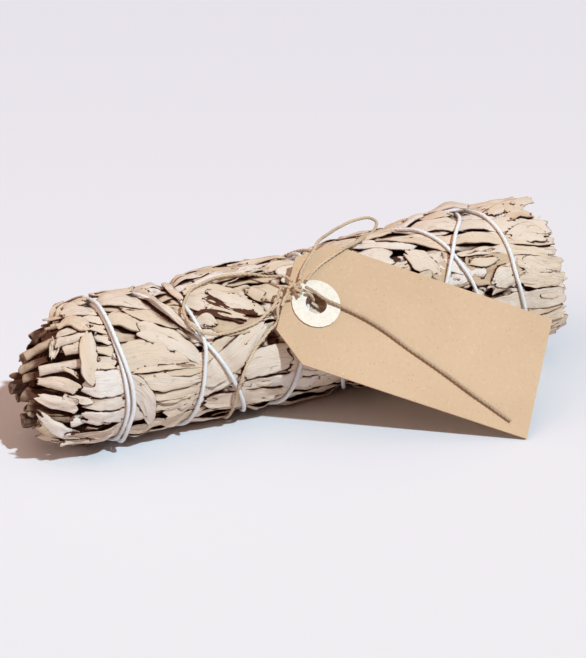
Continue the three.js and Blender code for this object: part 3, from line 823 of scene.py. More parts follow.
def plateSheet(leaf, rows, columns):
    # a blade along its own path of (x, turn, height above the even surface), with a half width at each point
    knots = np.array(leaf["path"], float)
    flat = np.stack([knots[:, 0], np.radians(knots[:, 1]) * bunch["radius"], knots[:, 2]], axis=1)
    widths = np.array(leaf["widths"], float)
    steps = np.concatenate([[0], np.cumsum(np.linalg.norm(np.diff(flat[:, :2], axis=0), axis=1))])
    i = np.linspace(0, 1, rows + 1)
    line = evenPoints(smoothCurve(flat, 16), steps[-1] / rows)
    line = np.stack([np.interp(i, np.linspace(0, 1, len(line)), line[:, k]) for k in range(3)], axis=1)
    tangent = np.gradient(line[:, :2], axis=0)
    tangent /= np.linalg.norm(tangent, axis=1)[:, None]
    along = (i * steps[-1])[:, None]
    i = i[:, None]
    t = np.linspace(-1, 1, columns + 1)[None, :]
    seed, blunt = leaf["seed"], leaf.get("blunt", 0.5)
    width = np.interp(i[:, 0], steps / steps[-1], widths)[:, None]
    width = width * (blunt + (1 - blunt) * (1 - np.abs(2 * i - 1) ** 5))
    c = t * width * (1 + 0.09 * smoothNoise(along * 0.4, seed + 4.1, 3))
    ragged = leaf.get("ragged", 1.0) * smoothNoise(t * 2.6, seed) * np.abs(2 * i - 1) ** 8 * np.sign(i - 0.5)
    x = line[:, :1] + ragged * tangent[:, :1] - c * tangent[:, 1:]
    wider = bunch["radius"] / np.maximum(bunch["radius"] + line[:, 2:3], 9)
    arc = line[:, 1:2] + (ragged * tangent[:, 1:] + c * tangent[:, :1]) * wider
    r = radiusAt(x) + line[:, 2:3] + crossShape(leaf, along, t, c, i)
    points = around(x, np.degrees(arc / bunch["radius"]), r)
    return points, sheetValues(leaf, along, c, t, i, points.shape[:2])


# pockets pressed in between the leaves, dark from their real depth and from the painted shade of depth: (x,
# turn, half length, half width, depth)
pits = [
    (-53.1, -1, 1.2, 1.2, 3), (-49.4, -3, 1.2, 1.4, 3), (-53.6, 36, 2.0, 1.9, 4),
    (-58.9, 25, 2.4, 0.8, 3), (-60.6, 35, 2.4, 0.9, 3), (-31.1, 23, 1.4, 1.0, 3.4),
    (-38.3, 28, 1.4, 1.2, 3.4), (-38.9, 37, 1.6, 1.2, 3.4), (-29.8, 41, 3.7, 1.3, 4),
    (-24.5, 47, 3.7, 1.4, 4), (-38.8, 48, 1.0, 1.4, 3), (-20.6, 21, 3.3, 1.0, 3.4),
    (-50.8, 55, 1.6, 1.0, 3), (-38.1, 60, 2.4, 0.9, 2.6), (-81.5, 65, 2.0, 1.2, 3.4),
    (-36.1, 103, 1.4, 1.4, 3.4), (-19, 70, 2.0, 3.8, 4), (-29.9, 91, 1.2, 1.2, 3),
    (-60.8, 111, 4.1, 0.9, 3), (-81.3, 86, 2.4, 1.0, 3.4), (-55.2, 84, 1.2, 3.8, 2.4),
    (-66.6, 72, 2.9, 0.6, 2.4), (-59.8, 97, 3.7, 0.7, 2.8), (-71.1, 92, 2.4, 0.7, 2.8),
    (69.4, 7, 2.0, 1.0, 3.4), (68.1, 19, 1.2, 0.8, 3), (91.3, 11, 1.4, 1.4, 3.6),
    (87.3, 19, 1.6, 1.2, 3.6), (74.9, 37, 3.7, 0.9, 3.2), (87.4, 41, 3.3, 0.9, 3.2),
    (57.5, 49, 1.2, 1.2, 3), (62.2, 62, 1.0, 1.9, 3.4), (67.4, 64, 0.8, 1.9, 3.4),
    (69.1, 74, 4.1, 1.2, 4), (91.1, 96, 4.1, 1.2, 4), (39.1, 42, 3.3, 0.8, 3), (85.8, 77, 1.2, 0.9, 3),
    (55.3, 35, 4.1, 0.7, 2.6), (-32.1, 65, 2.0, 1.0, 2.6), (-47, 99, 1.2, 2.9, 2),
    (-75, 46, 1.2, 2.9, 2.6), (-82.9, 51, 1.2, 3.3, 3), (-81.2, 29, 1.6, 1.9, 2.6),
    (-67.9, 30, 2.0, 0.8, 2.6), (-65, 41, 1.2, 1.4, 2.6),
]


def pitDepth(x, turn):
    total = np.zeros_like(x)
    for px, pt, halfLength, halfWidth, depth in pits:
        across = np.radians(halfTurn(turn - pt)) * bunch["radius"]
        reach = np.hypot((x - px) / halfLength, across / halfWidth)
        total = np.maximum(total, depth * np.exp(-reach ** 3 * 0.7))
    return total


def keepClear(points, kind):
    # leaves are pressed in below the thread, the card, the twine and the table
    flat = points.reshape(-1, 3)
    x = flat[:, 0]
    centre = np.stack([x, np.zeros_like(x), axisHeight(x)], axis=1)
    outward = flat - centre
    r = np.linalg.norm(outward, axis=1)
    outward /= np.maximum(r, 1e-6)[:, None]
    toThread = distancesTo(threadTree, centre + outward * (radiusAt(x) + leafShape["threadHeight"])[:, None])
    near = bell(np.clip(toThread - leafShape["threadClear"], 0, None), leafShape["threadReach"])
    below = radiusAt(x) - r
    turn = np.degrees(np.arctan2(-outward[:, 1], outward[:, 2]))
    share = 0.5 + 0.5 * np.cos(np.radians(turn - leafShape["pillowTurn"]))
    pillow = leafShape["pillow"] * share ** 1.5 * (1 - bell(toThread, leafShape["pillowReach"])) ** 0.5
    below = below - pillow * (below < leafShape["shallow"])
    if kind == "filler":
        below = below + pitDepth(x, turn)
    if kind != "rolled":
        inwards = np.clip(1 - (leftEdge(turn) - x) / bunch["crown"], leafShape["thinnest"], 1)
        closed = radiusAt(x) * (1 - inwards ** (1 / bunch["crownPower"]))
        below = np.maximum(below, closed - leafShape["endRise"] + leafShape["endBlend"] * below)
    pressed = thread["rise"] - threadRise(turn) + leafShape["underThread"]
    pressed = pressed + leafShape["pressed"] * np.clip(below, 0, bunch["deepest"])
    below = np.where(below < leafShape["shallow"], lerp(below, pressed, near), below)
    r = radiusAt(x) - below
    flat = centre + outward * r[:, None]
    slack = 1 - near
    toTwine = distancesTo(twineTree, flat)
    push = np.clip(leafShape["twineClear"] - toTwine, 0, leafShape["twineClear"]) * leafShape["twinePush"]
    flat = flat - outward * push[:, None]
    free, reach = leafShape["twineSlack"]
    slack = slack * np.clip((toTwine - free) / reach, 0, 1)
    local = flat - cardOrigin
    a, c, o = local @ cardAlong, local @ cardAcross, local @ cardOut
    chamfer = np.clip(card["chamfer"][0] - a, 0, None) * card["chamfer"][1] / card["chamfer"][0]
    within = np.minimum(np.minimum(a, card["length"] - a),
                        np.minimum(c - chamfer, card["width"] - chamfer - c))
    nearCard = np.clip(1 + within / leafShape["cardMargin"], 0, 1)
    over = np.clip(o + leafShape["cardClear"], 0, None)
    held = np.where((nearCard > 0) & (o < leafShape["cardOver"]), over * np.where(within > 0, 1, nearCard), 0)
    flat = flat - cardOut * held[:, None]
    under = o + leafShape["cardUnder"]
    slack = slack * np.where(under > 0, 1 - nearCard * np.clip(under / leafShape["cardSlack"], 0, 1), 1)
    flat[:, 2] = np.maximum(flat[:, 2], leafShape["floorClear"])
    return flat.reshape(points.shape), slack.reshape(points.shape[:-1])


def gridFaces(rows, columns, offset):
    i, j = np.meshgrid(np.arange(rows), np.arange(columns), indexing="ij")
    a = (i * (columns + 1) + j + offset).ravel()
    return np.stack([a, a + 1, a + columns + 2, a + columns + 1], axis=1)


# patterns on the blades: (waves per mm along, across)
crumple = {
    "wide": (0.06, 0.15), "warp": 2.1, "long": (0.1, 0.22), "longLean": 0.05,
    "patched": (0.13, 0.2), "patchedLean": 0.03, "fine": (0.19, 0.42),
    "ridge": 0.12, "facetRim": 0.45,  # levels that count as no height
    "swellGain": 2.0, "creaseGain": 4.0, "facetGain": 2.0, "crinkleGain": 6.0,
}


def crumpleTree():
    # swells, creases, facets and crinkles of every blade, each held back where the blade is pressed
    tree, source = newTree("leafCrumple", {
        "swell": 0.0006, "crinkle": 0.0003, "crease": 0.001, "facet": 0.001,
    }, material="NodeSocketMaterial")
    along, across, seed, slack = (
        addNode(tree, "GeometryNodeInputNamedAttribute", {"data_type": "FLOAT"}, Name=name).outputs[0]
        for name in ("leafAlong", "leafAcross", "leafSeed", "slack"))

    def waves(kind):
        return (times(value, rate) for value, rate in zip((along, across), crumple[kind]))

    x, y = waves("wide")
    wide = vectorOf(x, y, seed)
    warped = noiseOf(wide, crumple["warp"], 1)
    x, y = waves("long")
    long = vectorOf(plus(plus(x, times(across, crumple["longLean"])), warped), y, seed)
    x, y = waves("patched")
    patched = vectorOf(plus(x, warped), plus(y, times(along, crumple["patchedLean"])), seed)
    x, y = waves("fine")
    fine = vectorOf(plus(x, warped), y, seed)
    swell = times(centred(noiseOf(wide, 1.0, 1)), crumple["swellGain"])
    crease = minus(absolute(centred(noiseOf(long, 1.0, 1.5, 0.45))), crumple["ridge"])
    facet = minus(crumple["facetRim"], cellsOf(patched, 1.0))
    crinkle = minus(absolute(centred(noiseOf(fine, 1.0, 2, 0.5))), crumple["ridge"])
    creases = times(crease, times(source["crease"], crumple["creaseGain"]))
    facets = times(facet, times(source["facet"], crumple["facetGain"]))
    total = plus(times(swell, source["swell"]), plus(creases, facets))
    total = plus(total, times(crinkle, times(source["crinkle"], crumple["crinkleGain"])))
    normal = tree.nodes.new("GeometryNodeInputNormal").outputs[0]
    push = vectorCalc("SCALE", normal, Scale=times(total, slack))
    moved = addNode(tree, "GeometryNodeSetPosition", Geometry=source["Geometry"], Offset=push).outputs[0]
    return endTree(moved, source["material"])


crumpleNodes = crumpleTree()


def depthOf(flat):
    # how deep a point lies inside the bunch, from its side or from the nearer end
    x = flat[:, 0]
    y, z = flat[:, 1], flat[:, 2] - axisHeight(x)
    r = np.hypot(y, z)
    turn = np.degrees(np.arctan2(-y, z))
    leftShare, rightShare = bunch["endDepths"]
    fromLeft = (x - stemEndAt(turn, r / radiusAt(x))) * leftShare
    fromRight = (rightEdge(turn) - x) * rightShare
    return np.clip(np.minimum(radiusAt(x) - r, np.minimum(fromLeft, fromRight)), 0, bunch["deepest"])


def verticesOf(mesh):
    flat = np.zeros(len(mesh.vertices) * 3, np.float32)
    mesh.vertices.foreach_get("co", flat)
    return flat.reshape(-1, 3)


def leafPiece(name, kind, sheets, thickness, swell, crease, facet):
    # many blades in one piece: grids joined, crumpled, then given their thickness
    vertices, faces, slacks = [], [], []
    attributes = {key: [] for key in ("leafAlong", "leafAcross", "leafSeed", "leafTone", "leafRim", "deeper")}
    offset = 0
    for points, values in sheets:
        rows, columns = points.shape[0] - 1, points.shape[1] - 1
        kept, slack = keepClear(points, kind)
        if values["over"]:
            kept, slack = points, slack * 0 + leafShape["overSlack"]
        vertices.append(kept.reshape(-1, 3))
        slacks.append(slack.ravel())
        faces.append(gridFaces(rows, columns, offset))
        for key in attributes:
            attributes[key].append(np.asarray(values[key]).ravel())
        offset += points.shape[0] * points.shape[1]
    attributes = {key: np.concatenate(parts) for key, parts in attributes.items()}
    attributes["slack"] = np.concatenate(slacks)
    obj = meshObject(name, np.vstack(vertices), np.vstack(faces).tolist(), attributes)
    addTree(obj, crumpleNodes, {
        "swell": swell * metresPerMm, "crease": crease * metresPerMm, "facet": facet * metresPerMm,
        "crinkle": leafShape["crinkle"] * metresPerMm, "material": looks["leaf"],
    })
    solid = obj.modifiers.new("thickness", "SOLIDIFY")
    solid.thickness = thickness * metresPerMm
    solid.offset = -1
    applyModifiers(obj)
    mesh = obj.data
    flat = verticesOf(mesh)
    flat[:, 2] = np.maximum(flat[:, 2], leafShape["floorLift"] * metresPerMm)
    mesh.vertices.foreach_set("co", flat.ravel())
    # painted shade: the depth below the even surface plus each blade's painted shade depth, by which the leaf
    # colour darkens
    deeper = np.zeros(len(mesh.vertices), np.float32)
    mesh.attributes["deeper"].data.foreach_get("value", deeper)
    layer = mesh.attributes.new("depth", "FLOAT", "POINT")
    layer.data.foreach_set("value", (depthOf(flat / metresPerMm) + deeper).astype(np.float32))
    mesh.update()
    print("sage bunch:", name, len(mesh.polygons) * 2, "triangles")
    return finishPiece(obj, "dried_leaf")


shade = {"rays": 12, "reach": 4.5, "spread": 0.85, "start": 0.12, "fade": 0.6, "spiral": 2.39996}


def shadeTree():
    # how much of the open side of each point is closed in by other leaves, kept as an attribute by which the
    # leaf colour darkens as painted shade
    tree, source = newTree("leafShade", {}, around="NodeSocketObject", material="NodeSocketMaterial")
    others = addNode(tree, "GeometryNodeObjectInfo", {"transform_space": "ORIGINAL"}, Object=source["around"])
    normal = tree.nodes.new("GeometryNodeInputNormal").outputs[0]
    place = tree.nodes.new("GeometryNodeInputPosition").outputs[0]
    start = vectorCalc("ADD", place, vectorCalc("SCALE", normal, Scale=shade["start"] * metresPerMm))
    reach = shade["reach"] * metresPerMm
    shares = []
    for k in range(shade["rays"]):
        up = 1 - 2 * (k + 0.5) / shade["rays"]
        wide, angle = math.sqrt(1 - up * up) * shade["spread"], shade["spiral"] * k
        ray = (wide * math.cos(angle), wide * math.sin(angle), up * shade["spread"])
        cast = tree.nodes.new("GeometryNodeRaycast")
        ports = {socket.name: socket for socket in cast.inputs if socket.enabled}
        for label, value in (("Target Geometry", others.outputs["Geometry"]), ("Source Position", start),
                             ("Ray Direction", vectorCalc("ADD", normal, ray)), ("Ray Length", reach)):
            setSocket(ports[label], value)
        fading = minus(1, times(divided(cast.outputs["Hit Distance"], reach), shade["fade"]))
        shares.append(times(cast.outputs["Is Hit"], fading))
    hidden = divided(reduce(plus, shares), shade["rays"])
    return endTree(storeAttribute(source["Geometry"], "hidden", hidden), source["material"])


def shadeLeaves(pieces):
    corners, faces, offset = [], [], 0
    for obj in pieces:
        corners.append(verticesOf(obj.data))
        faces += [[offset + index for index in face.vertices] for face in obj.data.polygons]
        offset += len(obj.data.vertices)
    mesh = bpy.data.meshes.new("leavesTogether")
    mesh.from_pydata(np.vstack(corners).tolist(), [], faces)
    together = bpy.data.objects.new("leavesTogether", mesh)
    tree = shadeTree()
    for obj in pieces:
        addTree(obj, tree, {"around": together, "material": looks["leaf"]})
        applyModifiers(obj)
    bpy.data.objects.remove(together)


evenSpread = (0.7548777, 0.5698403)  # steps that fill a square evenly, whatever the count
lowerLeaves = {
    "seed": 11, "count": 26, "length": (62, 88), "halfWidth": (7.5, 10), "sunk": (2.2, 3.4), "tipLift": 0.6,
}
upperLeaves = {
    "seed": 29, "count": 44, "length": (48, 82), "halfWidth": (5, 8.6), "sunk": (0.1, 2), "tipLift": 1.0,
}
broad = {  # what both layers have in common
    "fromEnds": 12, "acrossSpread": 0.08, "turnSpread": 20, "skew": 26, "rib": 1.1, "rise": 0.4, "drop": 0.9,
    "roll": 26, "bow": (0.9, 0.35), "curl": 2.2, "wave": 1.3, "heave": 0.6, "bend": 3, "tonePower": 0.8,
}


def layerOf(layer, rows, columns):
    draw = seeded(layer["seed"])
    extra = seeded(layer["seed"] + 1000)
    sheets = []
    for k in range(layer["count"]):
        across = (k * evenSpread[0] + broad["acrossSpread"] * draw()) % 1
        leaf = {
            "x": lerp(bunch["left"] + broad["fromEnds"], bunch["right"] - broad["fromEnds"], across),
            "turn": 360 * k * evenSpread[1] + jitter(draw, broad["turnSpread"]),
            "length": lerp(*layer["length"], draw()),
            "halfWidth": lerp(*layer["halfWidth"], draw()),
            "skew": jitter(draw, broad["skew"]),
            "height": lerp(*layer["sunk"], draw()),
            "rib": jitter(draw, broad["rib"]), "rise": broad["rise"] * draw(), "drop": broad["drop"] * draw(),
            "tipLift": layer["tipLift"] * draw(),
            "seed": layer["seed"] + k * 1.37,
        }
        leaf.update(broadStyle(extra))
        sheets.append(leafSheet(leaf, rows, columns))
    return sheets


def broadStyle(draw):
    return {
        "roll": jitter(draw, broad["roll"]), "bow": jitter(draw, *broad["bow"]),
        "curl": jitter(draw, broad["curl"]), "wave": broad["wave"] * draw(), "heave": broad["heave"] * draw(),
        "bend": jitter(draw, broad["bend"]), "tone": draw() ** broad["tonePower"],
    }


def blade(path, widths, **bent):
    return {"path": path, "widths": widths, **bent}


# broad blades on the near side, each in its own place: path, half widths, then how it is bent
frontPlates = [
    blade([(-75, -9, .3), (-64.6, 3, .8), (-55, 24, .3)], [4, 6, 2.4], roll=-6, tone=.8),
    blade([(-76, 19, .1), (-70, 28, .6), (-64.5, 38, .5)], [2.6, 3.4, 2.2], roll=8, tone=.6),
    blade([(-66.8, 37, 1.1), (-56.5, 52, 1.2), (-47, 73, .2)],
          [3.8, 4, 1.6], bow=.7, roll=4, tone=.72, blunt=.9),
    blade([(-77, 57, .1), (-61.8, 60, .6), (-50, 69, .2)], [6, 6.2, 4], bow=.4, roll=-4, tone=.66),
    blade([(-73, 68.5, .3), (-60, 69, .9), (-46, 76, .3)], [1.4, 2, 1.5], roll=24, tone=.5),
    blade([(-66, 73, .1), (-57, 75, .6), (-46.5, 80, .2)], [1.4, 1.7, 1.4], roll=30, tone=.4),
    blade([(-76, 76, .3), (-62, 81, .9), (-48, 86, .2)], [3, 3.6, 2.6], bow=.4, roll=12, tone=.7),
    blade([(-71, 88, 0), (-60, 92, .6), (-48, 95, .1)], [1.6, 2.4, 1.6], roll=26, tone=.55),
    blade([(-67, 94, -.1), (-58, 97, .4), (-49, 99, 0)], [1.4, 2, 1.4], roll=34, tone=.45),
    blade([(-76, 73, 1), (-70, 89, 1.5), (-66.4, 119, .6)], [4, 3.4, 1.3], bow=.6, roll=-10, tone=.85),
    blade([(-61, 112, .5), (-51, 107, .7)], [3, 2.6], roll=6, tone=.7, blunt=.95),
    blade([(-74, 127, .1), (-58, 125, .5), (-42, 122, .1)], [2.8, 3.2, 2.4], roll=10, tone=.6),
    blade([(-68, 103, .2), (-59, 104, .8), (-49, 101, .2)], [1.8, 2.2, 1.5], roll=16, tone=.62),
    blade([(-47, 92, .5), (-36.8, 77, 1.1), (-22, 55, .3)], [4.4, 5.4, 2.4], bow=.5, roll=-6, tone=.8),
    blade([(-46, 72, 0), (-33, 61, .5), (-26, 54, .2)], [3, 3.6, 2], roll=6, tone=.55),
    blade([(-32, 86, .6), (-23, 83, 1.1), (-14, 83, .7)], [5, 5.4, 4.6], bow=.5, tone=.82, blunt=.95),
    blade([(-33, 98, .1), (-14, 101, .5)], [3.2, 3], roll=8, tone=.6),
    blade([(-46, 110, .1), (-34, 114, .6), (-12, 120, .2)], [3.2, 3.6, 2.8], roll=6, tone=.7),
    blade([(-45, 10, .3), (-35, 20, .8), (-25, 31, .3)], [3, 4, 2], roll=-8, tone=.7),
    blade([(-41, 27, .9), (-31, 35, 2), (-20, 47, .8)], [1.6, 4.2, 1.2], bow=.5, roll=-14, tone=.66),
    blade([(-46, 39, .1), (-34, 51, .6), (-18, 49, .1)], [2.6, 3.8, 2.2], roll=5, tone=.16),
    blade([(-58, 20, .5), (-47, 48, .3)], [2.4, 2.8], roll=-10, tone=.45, blunt=.9),
    blade([(-69, 15, .1), (-60, 30, .7), (-51, 42, .1)], [2.4, 3.2, 2], roll=12, tone=.58),
    blade([(-16, 62, .1), (-6, 70, .6), (6, 74, .1)], [3, 4, 3], roll=6, tone=.5),
    blade([(-14, 96, .3), (0, 100, .9), (16, 104, .3)], [3.4, 4.4, 3.4], bow=.4, tone=.72),
    blade([(-12, 112, .1), (4, 114, .5), (22, 117, .1)], [3, 3.4, 3], roll=8, tone=.6),
    blade([(-90.5, 70, 0), (-84, 73, 1.3), (-76.5, 75, .8)], [3.6, 5.4, 4.6], bow=.5, tone=1, blunt=.9),
    blade([(-91.3, 88, -1.6), (-84.7, 89, .9), (-76.4, 92, .5)], [1.6, 2.2, 2.2], roll=8, tone=.85, blunt=.9),
    blade([(-90.9, 101, -1.2), (-84.7, 102, 1), (-76.3, 106, .4)],
          [2.4, 3.4, 3], bow=.4, tone=.98, blunt=.95),
    blade([(-90, 118, -.6), (-77, 120, .5)], [2.4, 2.8], roll=14, tone=.75, blunt=.9),
    blade([(-83.6, 14, .2), (-77.3, 22, .6)], [2.2, 1.8], roll=-16, tone=.75, blunt=.85),
    blade([(-82.8, 26, .5), (-77.6, 31, .2)], [1.4, 1.8], roll=18, tone=.6, blunt=.9),
    blade([(-83.2, 34, .2), (-77.8, 42, .7)], [1.6, 1.5], roll=-20, tone=.8, blunt=.8),
    blade([(-88, -3, .1), (-82, 3, .6), (-76.5, 5, .3)], [4.2, 5, 4.4], bow=.4, tone=.78, blunt=.9),
    blade([(-83.8, 46, .6), (-78, 51, .1)], [1.5, 1.7], roll=14, tone=.6, blunt=.9),
    blade([(-85, 56, 0), (-78.3, 59, .6)], [1.8, 2.2], roll=-12, tone=.75, blunt=.9),
    blade([(-86.5, -14, -.6), (-82, -9, .9), (-78.4, -6, 1.5)], [2.6, 3.6, 3.2], bow=.3, tone=.7, over=True),
    blade([(-85, -28, -1.4), (-82, -24, .1), (-78.3, -18, .9)], [2.6, 3.4, 3], roll=8, tone=.6, over=True),
    blade([(-73, -24, .3), (-67, -12, 1.5), (-62.3, -4, 1.1)], [2.4, 3.2, 2.4], roll=-10, tone=.7, over=True),
    blade([(60, -20, .4), (68, -14, 2.6), (74, -9, .9)], [2.4, 3.4, 2.4], bow=.4, tone=.8, over=True),
    blade([(56, -14, .4), (61, -6, 1.7), (65, -2, .9)], [2.2, 2.8, 2], roll=-6, tone=.6, over=True),
    blade([(38, -10, .2), (58, 6, .8), (78, 20, .6), (97, 33, .5)],
          [2.4, 3.4, 3, 3.2], roll=4, tone=.8, blunt=.8),
    blade([(79, 6, .6), (90, 0, 1.2), (99.5, -3, .5)], [2, 2.8, 2.4], roll=-12, tone=.7, blunt=.9),
    blade([(44, 14, .1), (62, 26, .7), (80, 35, .4), (97, 42, .2)],
          [1.6, 2.4, 2, 2.4], roll=12, tone=.62, blunt=.8),
    blade([(58, 38, 0), (76, 42, .6), (96, 51, .2)], [1.4, 2.2, 2], roll=16, tone=.7, blunt=.8),
    blade([(60, 51, -.3), (69, 54, .1), (81, 52, -.3)], [5, 6.4, 5], tone=.12, blunt=.95),
    blade([(61, 47, .5), (66.5, 49, .9), (72, 48, .4)], [1, 2, 1.2], bow=.3, tone=.65),
    blade([(80, 53, .3), (88, 58, .8), (97, 63, .4)], [2.6, 3, 2.8], roll=-10, tone=.66, blunt=.8),
    blade([(67, 71, .4), (72, 66, 1), (77.5, 63, .3)], [2.4, 3.4, 2.4], roll=-5, tone=.75, blunt=.95),
    blade([(62, 83, .2), (78, 84, .8), (97, 85, .4)], [2.6, 3.6, 3.4], bow=.5, tone=.75, blunt=.8),
    blade([(80, 69, .3), (89, 71, .9), (98, 73, .4)], [2, 2.6, 2.6], roll=10, tone=.6, blunt=.8),
    blade([(72, 101, .1), (86, 100.5, .7), (98, 100, .2)], [1.8, 2, 2], roll=22, tone=.5, blunt=.8),
    blade([(80, 109, .1), (90, 108, .6), (99, 107, .2)], [2, 2.2, 2], roll=18, tone=.55, blunt=.8),
    blade([(39.7, 25, .3), (43, 36, .7), (48.5, 50, .2)], [2, 4, 2], blunt=.8, tone=.7),
    blade([(47.7, 39, -.3), (49.4, 47, .1), (50.5, 55, -.4)], [3, 4, 3], blunt=.9, tone=.14),
    blade([(33, 2, .2), (45, 16, .9), (56.4, 33, .3)], [1.4, 2.2, 1.4], roll=18, tone=.6),
    blade([(-70.3, -27, .1), (-63.8, -17, .5), (-56.5, 9, 0)], [3, 5, 2], roll=-6, tone=.75),
    blade([(-46.7, 20, .2), (-41.8, 27, .6), (-35.9, 30, .1)], [2, 4, 2], bow=.4, tone=.72),
    blade([(-42.4, -27, .2), (-30.9, -27, .6), (-17.3, -26, .1)], [2.4, 3.4, 2.4], roll=-8, tone=.66),
    blade([(-13.8, 7, .2), (-5.7, 3, .6), (2.3, 2, .1)], [2, 3, 2], roll=8, tone=.6),
    blade([(9, -28, .1), (18, -14, .5), (29, -8, 0)], [2.4, 3.2, 2.4], roll=-8, tone=.7),
    blade([(25.6, -29, .2), (35, -16, .6), (46.9, -11, .1)], [2.4, 3, 2], roll=-10, tone=.6),
    blade([(81.9, 55, .6), (86.7, 60, 1.1), (92.2, 65, .5)], [2.6, 3.8, 2.6], roll=6, tone=.75),
    blade([(78.9, 65, .5), (87.9, 69, 1), (96.9, 75, .4)], [2, 3, 2.4], roll=-6, blunt=.8, tone=.7),
    blade([(86.9, 79, .4), (92, 81, .9), (97.5, 82, .3)], [2, 2.8, 2], roll=12, blunt=.8, tone=.6),
    blade([(80.7, 33, .7), (87.9, 33, 1.2), (94.1, 40, .6)], [2.4, 4, 2.4], bow=.4, tone=.78),
    blade([(79.7, 41, .4), (86.3, 47, .9), (93.1, 52, .3)], [1.4, 2, 1.6], roll=16, blunt=.8, tone=.6),
    blade([(82.7, 94, .2), (90.4, 92, .7), (96.7, 90, .1)], [1.4, 2, 1.6], roll=20, blunt=.8, tone=.25),
    blade([(86.3, -3, 1.1), (88.2, 8, 1.6), (93.7, 5, 1)], [1.8, 2.6, 1.6], roll=-8, over=True, tone=.6),
    blade([(82.4, 18, .5), (89.4, 14, 1), (93.2, 19, .4)], [1.4, 2.2, 1.4], roll=10, tone=.4),
    blade([(67.9, 66, .8), (72.8, 63, 1.3), (78.4, 62, .7)], [2.2, 3.8, 2.4], bow=.3, tone=.84),
    # painted shade: a dark strip lying between the blades, standing for the shade of a gap
    blade([(-39.5, 25, 1.6), (-35.1, 34, 2.1), (-29.3, 41, 2.1), (-24.4, 45, 1.6)],
          [.5, .9, 1, .5], deeper=4.5, tone=0),
    blade([(-37.6, 18, 2), (-33, 27, 2.5), (-27.6, 35, 2.5), (-23.4, 40, 2)],
          [1.6, 2.8, 2.8, 1.4], roll=-10, tone=.72),
    # painted shade: another dark strip standing for the shade of a gap
    blade([(-47.4, 35, 1.2), (-41, 37, 1.7), (-35.2, 43, 1.7), (-29.6, 49, 1.2)],
          [.4, .8, .7, .4], deeper=4.5, tone=0),
    blade([(-40.1, 32, 1.8), (-34.6, 40, 2.3), (-28.4, 47, 1.8)], [1.2, 2.2, 1.2], roll=12, tone=.6),
    blade([(-23.2, 25, 1.2), (-21.1, 30, 1.7), (-18.6, 34, 1.2)], [2, 3, 2], blunt=.9, tone=.3),
    blade([(-46.5, 43, 1.4), (-42.5, 42, 1.9), (-39.8, 48, 1.4)], [1.4, 2.2, 1.4], roll=-14, tone=.7),
]
# narrow strips lying on the thread
coverStrips = [
    blade([(-59.9, 2, .3), (-58.2, 13, .9), (-55.3, 27, 1.6), (-51, 42, 1.8), (-48, 50, 1.75)],
          [1, 1.3, 1.4, 1.2, .9]),
    blade([(-47.4, -14, -.3), (-48.7, 2, .5), (-48.6, 12, 1.2), (-48, 22, 1.7)], [1, 1.5, 1.5, 1]),
]
for leaf in coverStrips:
    leaf.update(over=True, bow=0.35, tone=0.75, blunt=0.8, ragged=0.3)
frontPlates += coverStrips
for k, leaf in enumerate(frontPlates):
    leaf.setdefault("seed", 300 + k * 2.3)
    leaf.setdefault("wave", 0.5 + 0.4 * (k % 3))
    leaf.setdefault("curl", (0.5, -0.7, 0.1, -0.4)[k % 4])

plates = {
    "seed": 71, "count": 96, "length": (22, 58), "halfWidth": (2.2, 6.2), "height": (-0.7, 1.0), "skew": 48,
    "fromEnds": (8, 4), "acrossSpread": 0.05, "turnSpread": 14, "sizePower": 1.4, "sizeShares": (0.35, 0.65),
    "roll": 34, "twist": 16, "bow": (0.9, 0.3), "curl": (1.6, 0.65), "wave": 1.1, "bend": 5,
    "endWidths": ((0.7, 0.4), (0.6, 0.5)), "blunt": (0.65, 0.35), "tonePower": 0.75,
    "rows": 36, "columns": 11,
    "nearSide": (-78, -8, 0, 128),  # x from, x to, turn from, turn to
    "nearRight": (44, 100),  # x from, turn to
    "lower": 1.5,  # they lie lower in both, under frontPlates
}


def scatteredPlates():
    draw = seeded(plates["seed"])
    leftGap, rightGap = plates["fromEnds"]
    sizeShare, drawShare = plates["sizeShares"]
    bluntFrom, bluntMore = plates["blunt"]
    sheets = []
    for k in range(plates["count"]):
        across = (k * evenSpread[0] + plates["acrossSpread"] * draw()) % 1
        x = lerp(bunch["left"] + leftGap, bunch["right"] - rightGap, across)
        turn = (360 * k * evenSpread[1] + jitter(draw, plates["turnSpread"])) % 360
        size = draw() ** plates["sizePower"]
        length = lerp(*plates["length"], sizeShare * size + drawShare * draw())
        slope = math.radians(jitter(draw, plates["skew"]) * (1.2 - 0.5 * size))
        width = lerp(*plates["halfWidth"], size)
        high = lerp(*plates["height"], draw())
        bend = jitter(draw, plates["bend"])
        leaf = {
            "roll": jitter(draw, plates["roll"]) * (1.25 - size), "twist": jitter(draw, plates["twist"]),
            "bow": jitter(draw, *plates["bow"]), "curl": jitter(draw, *plates["curl"]),
            "wave": plates["wave"] * draw(), "blunt": bluntFrom + bluntMore * draw(),
            "tone": draw() ** plates["tonePower"], "seed": 500 + k * 1.7,
        }
        left, right, low, up = plates["nearSide"]
        rightPart, topTurn = plates["nearRight"]
        if left < x < right and low < turn < up or x > rightPart and turn < topTurn:
            high -= plates["lower"]
        start = max(x - 0.5 * length * math.cos(slope), float(leftEdge(turn)))
        end = min(x + 0.5 * length * math.cos(slope), float(rightEdge(turn)) - 0.6)
        swing = math.degrees(0.5 * length * math.sin(slope) / bunch["radius"])
        middle = turn + math.degrees(bend / bunch["radius"])
        leaf["path"] = [(start, turn - swing, high - 0.5), (0.5 * (start + end), middle, high + 0.3),
                        (end, turn + swing, high - 0.4)]
        first, last = (width * (low + more * draw()) for low, more in plates["endWidths"])
        leaf["widths"] = [first, width, last]
        sheets.append(plateSheet(leaf, plates["rows"], plates["columns"]))
    return sheets


